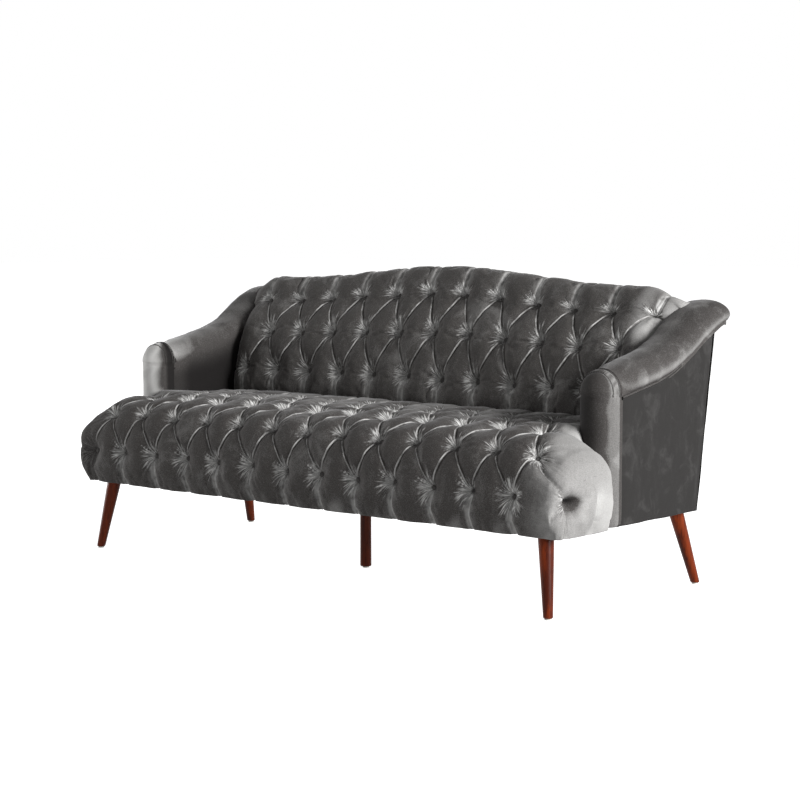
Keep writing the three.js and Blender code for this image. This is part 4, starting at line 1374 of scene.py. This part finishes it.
# %% Arm front
crease_depth = 2.2
foot_tuck = 6
third_seam = 26
seam_creases = ((5, 2.2), (third_seam, 2.6))


def dressed(points, seed, size=1.0):
    """Adds the small unevenness of stuffed cloth."""
    uneven = 1.2 * wobble(points, 110, seed) + 0.45 * wobble(points, 35, seed + 1)
    return points + grid_normals(points) * (size * uneven)[..., None]


def column_grid():
    """The half round front of the right arm, its domed top, and its painted light and shade."""
    angles = np.radians(np.linspace(-100, 100, 110))
    heights = np.linspace(underside_height, dome_height, 90)
    rises = np.radians(np.linspace(0, 90, 60))[1:]
    profile = [(column_radius, z) for z in heights]
    for rise in rises:
        dome_rise = (arm_front_height - dome_height + 1) * math.sin(rise)
        profile.append(((column_radius + 1) * math.cos(rise), dome_height + dome_rise))
    points = []
    for angle in angles:
        sine, cosine = math.sin(angle), math.cos(angle)
        points.append([(column_centre + out * sine, arm_front - out * cosine, z) for out, z in profile])
    points = np.array(points)
    ahead = arm_front - points[..., 1]
    high = smooth_step((points[..., 2] - dome_height + 12) / 14)
    side_share = (points[..., 0] - arm_inner) / (arm_outer - arm_inner)
    band = 0
    for place, width in seam_creases:
        band = band + np.exp(-(((ahead - place) / width) ** 2)) * high
    sag = points[..., 2] - dome_height + 10 + 26 * side_share - 12 * np.sin(math.pi * side_share)
    tuck = np.exp(-((sag / 2.4) ** 2)) * (0.3 + 0.7 * smooth_step(1.1 - side_share * 1.5))
    between = high * smooth_step((ahead - 5) / 5) * smooth_step((third_seam - ahead) / 6)
    puckers = between * (0.5 + 0.5 * np.sin(side_share * 74 + 2 * np.sin(side_share * 19)))
    foot = np.exp(-((points[..., 2] - underside_height) / 7))
    normal = outwards(points, grid_normals(points), np.array([column_centre, arm_front, 400]))
    depth = crease_depth * (1.3 * band + 0.9 * tuck + 0.35 * puckers) + foot_tuck * foot
    # turned is the angle round the column: nought straight ahead, positive on the outside.
    turned = np.degrees(np.arctan2(points[..., 0] - column_centre, np.maximum(ahead, 0.01)))
    mottled = wobble(points, 60, 33)
    # Painted light and shade: the right column is painted dark in front and lighter towards its outside,
    # where the key lamp falls, with painted highlights on its seams and puckers; the left one is painted
    # bright in front and painted dark on its inner and outer sides.
    edge = turned + 7 * mottled
    right = 0.46 * smooth_step((edge + 22) / 60) - 0.72
    right = right + 0.4 * smooth_step((edge - 26) / 36) * (1 - smooth_step((turned - 84) / 8))
    right = right * (1 - 0.4 * high) + 0.4 * band + 0.15 * puckers
    left = 1.0 * smooth_step((turned + 54 + 14 * mottled) / 42) * (1 - 0.3 * mottled)
    left = left - 0.8 * smooth_step((-54 - turned) / 18) - 0.7 * smooth_step((turned - 52) / 20)
    return points - normal * depth[..., None], {"right": right, "left": left + 0.2 * band}


# %% Arm sleeve's painted light and outside panel
panel_foot = 207
panel_crown = 4.5
panel_overlap = 4
panel_gap = 2
panel_turn = (9, 0, -1)
panel_rear_turn = (9, -0.5, 0)


def sleeve_painted_light(points, steps):
    """Painted light and shade on the sleeve: painted highlights along the scroll's lower edge and its top,
    painted shade down the inside, and painted light near the front.
    """
    section = np.linspace(0, steps, points.shape[1])[None, :]
    along = smooth_step((points[..., 1] - arm_front) / 160)
    mottled = wobble(points, 90, 37)
    # Painted highlight bands along the scroll's lower edge and its top, painted shade on the inside wall, and
    # painted light near the front; on the left arm also along the outer top near the front.
    lower = np.exp(-(((section - 2.5) / 0.6) ** 2)) * (0.07 + 0.12 * along)
    top = 0.1 * np.exp(-(((section - 7.2) / 1.3) ** 2)) * (1 + 0.8 * mottled)
    inside = smooth_step((section - 9.5) / 2.5)
    start = smooth_step(1 - along * 2.2)
    right = lower + top - 0.42 * inside * smooth_step((points[..., 1] - arm_front - 30) / 130)
    right = right + 0.1 * start * smooth_step((section - 7) / 3)
    left = top - 0.85 * inside + 0.6 * smooth_step((8.8 - section) / 3) * smooth_step(1 - along)
    left = left + 0.3 * start * smooth_step((section - 7) / 2)
    return {"right": right, "left": left}


def panel_grid():
    """The flat outside panel, a little crowned, with its rear and lower edges turned in."""
    across = np.linspace(0, 1, 90)
    up = np.linspace(0, 1, 60)
    points = np.zeros((len(across), len(up), 3))
    for i, share in enumerate(across):
        for j, rise in enumerate(up):
            # The rear edge leans, so the height is found first from a rough place, and then once more.
            y = arm_front - panel_overlap + share * (rear_plane(400) - arm_front)
            low = float(arm_top_and_low(max(y, arm_front))[1])
            z = panel_foot + rise * (low - panel_gap - panel_foot)
            y = arm_front - panel_overlap + share * (rear_plane(z) + 6 - arm_front)
            low = float(arm_top_and_low(max(y, arm_front))[1])
            z = panel_foot + rise * (min(low, shoulder_height) - panel_gap - panel_foot)
            edge = min(share, 1 - share, rise * 0.7) * 12
            x = arm_outer - 3 + panel_crown * float(smooth_step(edge))
            points[i, j] = (x, y, z)
    turned = points[:, :1] - panel_turn
    points = np.concatenate([turned, points], axis=1)
    rear = points[-1:] - panel_rear_turn
    return np.concatenate([points, rear], axis=0)


# %% [markdown]
# Two covered cords lie under each scroll, and three finer ones follow the arched seams. A bevelled curve
# would give the same cords, but a swept grid is a plain mesh that can be mirrored with the rest.

# %% Arm cords and seams
welt_radius = 2.4
welt_places = ((3.0, 3.0), (7.6, 1.8))
seam_radius = 1.1


def piping(name, route, radius, finish, sides=10):
    """A thin round cord covered in velvet, swept along a route."""
    route = np.asarray(route, float)
    run = np.gradient(route, axis=0)
    run /= np.linalg.norm(run, axis=1, keepdims=True)
    side = np.cross(run, (0.3, 0.1, 1.0))
    side /= np.linalg.norm(side, axis=1, keepdims=True)
    other = np.cross(run, side)
    angle = np.linspace(0, 2 * math.pi, sides, endpoint=False)
    circle = side[:, None] * np.cos(angle)[None, :, None] + other[:, None] * np.sin(angle)[None, :, None]
    return grid_mesh(name, route[:, None] + circle * radius, finish, closed=True)


def mirrored(points):
    """The same points on the left side."""
    return points * (-1, 1, 1)


def welt_routes():
    """Two cords that lie side by side under the scroll."""
    y = np.linspace(arm_front + 4, scroll_rear - 22, 120)
    low = arm_top_and_low(y)[1]
    for drop, out in welt_places:
        yield np.column_stack([np.full(len(y), arm_outer + out), y, low - drop])


def arch_seams():
    """The arched seams on the column's dome: a pair where it meets the sleeve, and a third further down."""
    angle = np.linspace(-0.05, 1.02, 80) * math.pi
    for ahead in (-2, 5, third_seam):
        size = math.sqrt(1 - (max(ahead, 0) / (column_radius + 1)) ** 2)
        x = column_centre + ((column_radius + 1) * size + 0.6) * np.cos(angle)
        z = dome_height + ((arm_front_height - dome_height + 1) * size + 0.6) * np.sin(angle)
        yield np.column_stack([x, np.full(len(x), arm_front - ahead), z])


def join(name, pieces):
    """Makes one piece of several."""
    for other in pieces:
        other.select_set(True)
    bpy.context.view_layer.objects.active = pieces[0]
    bpy.ops.object.join()
    pieces[0].name = name
    pieces[0].data.name = name
    pieces[0].select_set(False)
    return pieces[0]


# %% [markdown]
# All pieces are worked out for the right arm and mirrored for the left one. The upper cord under the scroll
# is in the arm's velvet, and the lower one in the panel's.

# %% Both arms
bpy.ops.object.select_all(action="DESELECT")
sleeve = dressed(sleeve_grid(), 21)
sleeve_painted_lights = sleeve_painted_light(sleeve, len(roll_section) + 2)
column, column_painted_lights = column_grid()
column = dressed(column, 31, 0.5)
panel = dressed(panel_grid(), 41, 0.7)
for side, turn in (("right", lambda points: points), ("left", mirrored)):
    nap = {"nap": sleeve_painted_lights[side]}
    made = weld(grid_mesh("arm_sleeve_" + side, turn(sleeve), arm_velvet, values=nap))
    settled(made, "velvet", "arm_roll_" + side, "arm_inside_pad_" + side)
    nap = {"nap": column_painted_lights[side]}
    made = weld(grid_mesh("arm_column_cloth_" + side, turn(column), arm_velvet, values=nap))
    settled(made, "velvet", "arm_column_" + side)
    made = weld(grid_mesh("arm_outside_cloth_" + side, turn(panel), panel_velvet))
    settled(made, "velvet", "arm_outside_panel_" + side)
    cords = []
    for route, finish in zip(welt_routes(), (arm_velvet, panel_velvet)):
        cords.append(piping("cord", turn(route), welt_radius, finish))
    cords.extend(piping("cord", turn(route), seam_radius, arm_velvet) for route in arch_seams())
    settled(weld(join("arm_piping_" + side, cords)), "velvet", "arm_welt_" + side)

# %% [markdown]
# ## The outside back
#
# Behind, the settee is closed by one large panel of velvet over board, edged by a cord along the camel
# line. One grid makes the panel, with its lower and upper edges turned in, so no board shows.

# %% Outside back
back_panel_drop = 33
back_cord_radius = 3.2
lower_turn = (0, 8, -1)
upper_turn = (0, 32, 0)


def outside_back_grid():
    """The outside back from side to side, higher between the arms' scrolls than behind them."""
    x_lines = np.concatenate(
        [
            np.linspace(-arm_outer + 1, -roll_inner - 1, 14),
            np.linspace(-roll_inner + 0.5, roll_inner - 0.5, 150),
            np.linspace(roll_inner + 1, arm_outer - 1, 14),
        ]
    )
    up = np.linspace(0, 1, 60)
    middle_top = back_height - back_panel_drop - camel_fall(x_lines) - shoulder_fall(x_lines)
    top = np.where(np.abs(x_lines) < roll_inner, middle_top, shoulder_height)
    z = panel_foot + up[None, :] * (top - panel_foot)[:, None]
    x = np.broadcast_to(x_lines[:, None], z.shape)
    rim = np.minimum(np.minimum(up[None, :], 1 - up[None, :]) * 14, (arm_outer - np.abs(x)) / 60)
    y = rear_plane(z) + 4 + 4.5 * smooth_step(rim)
    points = np.stack([x, y, z], axis=-1)
    low = points[:, :1] - lower_turn
    high = points[:, -1:] - upper_turn
    return np.concatenate([low, points, high], axis=1)


# %% Outside back and its cord
outside = weld(grid_mesh("outside_back_cloth", dressed(outside_back_grid(), 51), panel_velvet))
settled(outside, "velvet", "outside_back_panel")
x = np.linspace(-roll_inner + 4, roll_inner - 4, 240)
z = back_height - back_panel_drop - camel_fall(x) - shoulder_fall(x) + 1
route = np.column_stack([x, rear_plane(z) + 6, z])
cord_length = np.linalg.norm(np.diff(route, axis=0), axis=1).sum()
print("back cord:", round(cord_length * MILLIMETRE, 2), "metres")
settled(weld(piping("back_piping", route, back_cord_radius, back_velvet)), "velvet")

# %% [markdown]
# ## Legs
#
# The legs are turned from mahogany, stained red brown and lacquered. Their grain is noise stretched along
# the leg, darker in the pores, under a thin clear coat. Each entry below gives the top and the foot of a
# leg's line, seen from above, and its radii there. The left legs mirror the right ones.


# %% Wood group
wood_group, given, put = new_group(
    "long_grain",
    [
        ("Light", COLOUR, (0.4, 0.2, 0.1, 1)),
        ("Dark", COLOUR, (0.1, 0.04, 0.02, 1)),
        ("Scale", NUMBER, 30.0),
        ("Stretch", NUMBER, 0.06),
        ("Pores", NUMBER, 0.5),
    ],
    [("Color", COLOUR), ("Height", NUMBER), ("Roughness", NUMBER)],
)
tree = wood_group
place = node(tree, "ShaderNodeTexCoord").outputs["Object"]
parts = node(tree, "ShaderNodeSeparateXYZ", Vector=place)
long_place = node(
    tree,
    "ShaderNodeCombineXYZ",
    X=parts.outputs["X"],
    Y=parts.outputs["Y"],
    Z=calculate(tree, "MULTIPLY", parts.outputs["Z"], given["Stretch"]),
).outputs["Vector"]
bands = node(
    tree,
    "ShaderNodeTexNoise",
    Vector=long_place,
    Scale=given["Scale"],
    Detail=6.0,
    Roughness=0.65,
    Distortion=0.4,
)
pore_scale = calculate(tree, "MULTIPLY", given["Scale"], 9.0)
pores = node(tree, "ShaderNodeTexNoise", Vector=long_place, Scale=pore_scale, Detail=3.0, Roughness=0.7)
pore = remap(tree, pores.outputs["Fac"], 0.52, 0.68)
band = remap(tree, bands.outputs["Fac"], 0.32, 0.68)
share = calculate(tree, "ADD", band, calculate(tree, "MULTIPLY", pore, given["Pores"]))
share = node(tree, "ShaderNodeClamp", Value=share).outputs[0]
tree.links.new(blend_colours(tree, share, given["Light"], given["Dark"]), put["Color"])
tree.links.new(calculate(tree, "MULTIPLY", pore, -1.0), put["Height"])
tree.links.new(remap(tree, share, 0.0, 1.0, 0.3, 0.42), put["Roughness"])
print("wood group:", len(tree.nodes), "nodes")


# %% Wood finishes
def wood(name, light, dark, scale, stretch, pores, coat):
    """A wood with grain along the height, and a clear coat of a given weight."""
    finish, tree, body = new_finish(name)
    grain = node(
        tree,
        "ShaderNodeGroup",
        {"node_tree": wood_group},
        Light=(*light, 1),
        Dark=(*dark, 1),
        Scale=scale,
        Stretch=stretch,
        Pores=pores,
    )
    tree.links.new(grain.outputs["Color"], body.inputs["Base Color"])
    tree.links.new(grain.outputs["Roughness"], body.inputs["Roughness"])
    add_bump(tree, body, grain.outputs["Height"], 0.25, 0.0004)
    body.inputs["Coat Weight"].default_value = coat
    body.inputs["Coat Roughness"].default_value = 0.14
    body.inputs["Specular IOR Level"].default_value = 0.09
    return finish


leg_wood = wood("leg_mahogany", (0.215, 0.032, 0.005), (0.048, 0.006, 0.0015), 26.0, 0.07, 0.35, 0.04)
beech = wood("frame_beech", (0.56, 0.37, 0.2), (0.34, 0.2, 0.1), 18.0, 0.1, 0.2, 0.0)

# %% Leg shape
glide_height = 4
leg_top_height = 207
leg_profile = [
    (0.0, 0.0),
    (0.0, 0.86),
    (0.006, 0.96),
    (0.016, 1.0),
    (0.3, 0.995),
    (0.6, 1.0),
    (0.9, 1.0),
    (0.985, 0.99),
    (1.0, 0.97),
    (1.0, 0.0),
]


def leg_points(top, foot, top_radius, foot_radius, sides=40):
    """A tapered turned leg along the line from its foot to its top."""
    rings = []
    for share, size in leg_profile:
        radius = (foot_radius + (top_radius - foot_radius) * share) * size
        centre = np.array(foot) + (np.array(top) - np.array(foot)) * share
        angle = np.linspace(0, 2 * math.pi, sides, endpoint=False)
        z = glide_height + (leg_top_height - glide_height) * share
        ring = [centre[0] + radius * np.cos(angle), centre[1] + radius * np.sin(angle), np.full(sides, z)]
        rings.append(np.stack(ring, axis=-1))
    return np.array(rings)


# %% Five legs
legs = {
    "front_right": ((801, -309), (832, -340), 21, 12.5),
    "rear_right": ((816, 256), (846, 313), 21, 12.5),
    "centre": ((0, -78), (0, -78), 16, 16),
}
for name, (top, foot, top_radius, foot_radius) in legs.items():
    points = leg_points(top, foot, top_radius, foot_radius)
    places = [(name, points)]
    if name.endswith("right"):
        places.append((name.replace("right", "left"), mirrored(points)))
    for title, shape in places:
        leg = weld(grid_mesh("turned_leg_" + title, shape, leg_wood, closed=True))
        for polygon in leg.data.polygons:
            polygon.use_smooth = abs(polygon.normal.z) < 0.9
        settled(leg, "leg_wood", "leg_" + title)

# %% [markdown]
# ## Pieces that keep their solids
#
# Frame timber, plates, bolts and glides have the right shape already, so their solids stay and only get
# finishes. Cut timber gets beech grain, the plates and bolts zinc, and the glides pale nylon.


# %% Plain finishes
def speckled(name, light, dark, scale, roughness, metal=0.0, bump_distance=0.0003):
    """A finish with a fine two tone grain, for zinc, nylon and foam."""
    finish, tree, body = new_finish(name)
    place = node(tree, "ShaderNodeTexCoord").outputs["Object"]
    grain = node(tree, "ShaderNodeTexNoise", Vector=place, Scale=scale, Detail=5.0, Roughness=0.65)
    share = remap(tree, grain.outputs["Fac"], 0.35, 0.65)
    tree.links.new(blend_colours(tree, share, (*light, 1), (*dark, 1)), body.inputs["Base Color"])
    tree.links.new(remap(tree, share, 0.0, 1.0, roughness, roughness + 0.12), body.inputs["Roughness"])
    add_bump(tree, body, grain.outputs["Fac"], 0.4, bump_distance)
    body.inputs["Metallic"].default_value = metal
    return finish


def woven(name, light, dark, threads, roughness):
    """A plain weave: two sets of threads that cross."""
    finish, tree, body = new_finish(name)
    place = node(tree, "ShaderNodeTexCoord").outputs["Object"]
    parts = node(tree, "ShaderNodeSeparateXYZ", Vector=place)
    waves = []
    for axis in ("X", "Y"):
        turned = calculate(tree, "MULTIPLY", parts.outputs[axis], threads)
        waves.append(calculate(tree, "ABSOLUTE", calculate(tree, "SINE", turned)))
    over = calculate(tree, "MULTIPLY", waves[0], waves[1])
    tree.links.new(blend_colours(tree, over, (*dark, 1), (*light, 1)), body.inputs["Base Color"])
    add_bump(tree, body, over, 0.5, 0.0005)
    body.inputs["Roughness"].default_value = roughness
    return finish


zinc = speckled("zinc_plate", (0.62, 0.62, 0.6), (0.45, 0.45, 0.44), 240.0, 0.34, metal=1.0)
nylon = speckled("glide_nylon", (0.66, 0.64, 0.58), (0.55, 0.53, 0.48), 160.0, 0.45)
foam = speckled("cut_foam", (0.78, 0.72, 0.5), (0.62, 0.56, 0.36), 300.0, 0.9, bump_distance=0.001)
jute = woven("jute_webbing", (0.36, 0.27, 0.14), (0.16, 0.11, 0.05), 1600.0, 0.9)
lining = woven("black_lining", (0.035, 0.034, 0.034), (0.012, 0.012, 0.012), 2600.0, 0.92)

kept = {
    beech: ("rail", "block", "post", "upright"),
    zinc: ("leg_plate", "hanger_bolt"),
    nylon: ("leg_glide",),
}
for title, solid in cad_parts.items():
    for finish, words in kept.items():
        if any(word in title for word in words) and not solid.hide_render:
            solid.data.materials.clear()
            solid.data.materials.append(finish)
            print(title, finish.name)

# %% [markdown]
# ## Filling
#
# Under the velvet lies foam with a layer of wadding. The twine of each button draws both in, so the filling
# has the same pits as its cover, a little deeper. It is made from the cover's own shape, drawn in by the
# thickness of the wadding, and closed by a flat base.

# %% Filling from a cover's shape
wadding = 17
seat_deck_height = 305
arm_gap = 6
back_filling_half = 742
board_gap = 43
board_heights = np.array([748, 640, 540, 452])
board_camel_shares = np.array([1, 0.5, 0, 0])


def drawn_in(surface, tufts, columns, places, middle):
    """The cover's shape before it settled, drawn in by the thickness of the wadding."""
    base = surface(columns, places)
    normal = outwards(base, grid_normals(base), middle)
    depth = tufts(columns, places)[0]
    return base - normal * (depth + wadding)[..., None]


# %% Seat filling
columns, places = grid_lines(-30, 30, 2, 6), grid_lines(0.5, 12.5, 2, 8)
shape = drawn_in(seat_surface, seat_tufts, columns, places, seat_middle)
shape[..., 2] = np.maximum(shape[..., 2], seat_deck_height)
at_arm = np.abs(shape[..., 0]) > arm_inner - arm_gap
before_arm = np.minimum(shape[..., 1], arm_front - column_radius - arm_gap)
shape[..., 1] = np.where(at_arm, before_arm, shape[..., 1])
seat_filling = weld(grid_mesh("seat_filling", shape, foam, closed=True))
settled(seat_filling, "foam", "seat_foam")

# %% Back filling
columns, places = grid_lines(-24, 24, 2, 6), grid_lines(0.25, 7.25, 1, 5)
shape = drawn_in(back_surface, back_tufts, columns, places, back_middle)
shape[..., 0] = np.clip(shape[..., 0], -back_filling_half, back_filling_half)
x = np.broadcast_to(shape[:, :1, 0], (len(shape), len(board_heights)))
z = board_heights[None, :] - camel_fall(x) * board_camel_shares[None, :]
board = np.stack([x, rear_plane(z) - board_gap, z], axis=-1)
shape = np.concatenate([shape, board], axis=1)
back_filling = weld(grid_mesh("back_filling", shape, foam, closed=True))
settled(back_filling, "foam", "back_foam")

# %% [markdown]
# ## Webbing and linings
#
# Under the filling, hessian is stretched over three strips of webbing, and a thin black cloth closes the
# frame from below. They are flat sheets that sag a little between the rails.

# %% Sheets under the seat
frame_front = -330
frame_rear = 268
strap_half_width = 25
webbing_height = 301
deck_height = 303.4
dust_cloth_height = 209.4


def stretched_sheet(name, x_range, y_range, height, sag, finish, steps=(60, 30)):
    """A flat sheet that hangs down a little in its middle, with a slight ripple."""
    x = np.linspace(*x_range, steps[0])[:, None] + np.zeros(steps[1])[None, :]
    y = np.zeros(steps[0])[:, None] + np.linspace(*y_range, steps[1])[None, :]
    across = np.sin(math.pi * np.linspace(0, 1, steps[0]))[:, None]
    along = np.sin(math.pi * np.linspace(0, 1, steps[1]))[None, :]
    ripple = 0.25 * wobble(np.stack([x, y, x * 0], axis=-1), 130, 71)
    z = height - sag * across * along + ripple * across * along
    return grid_mesh(name, np.stack([x, y, z], axis=-1), finish)


# %% Webbing, deck and dust cloth
for title, middle in (("left", -430), ("centre", 0), ("right", 430)):
    width = (middle - strap_half_width, middle + strap_half_width)
    length = (frame_front, frame_rear)
    strap = stretched_sheet("webbing_" + title, width, length, webbing_height, 0.6, jute, (8, 60))
    settled(strap, "webbing", "seat_strap_" + title).name
deck = stretched_sheet("deck_hessian", (-764, 764), (frame_front, 236), deck_height, 0.4, jute)
settled(deck, "webbing", "deck_cloth")
dust = stretched_sheet("black_dust_cloth", (-831, 831), (-316, 254), dust_cloth_height, 1.2, lining)
settled(dust, "lining", "dust_cover")
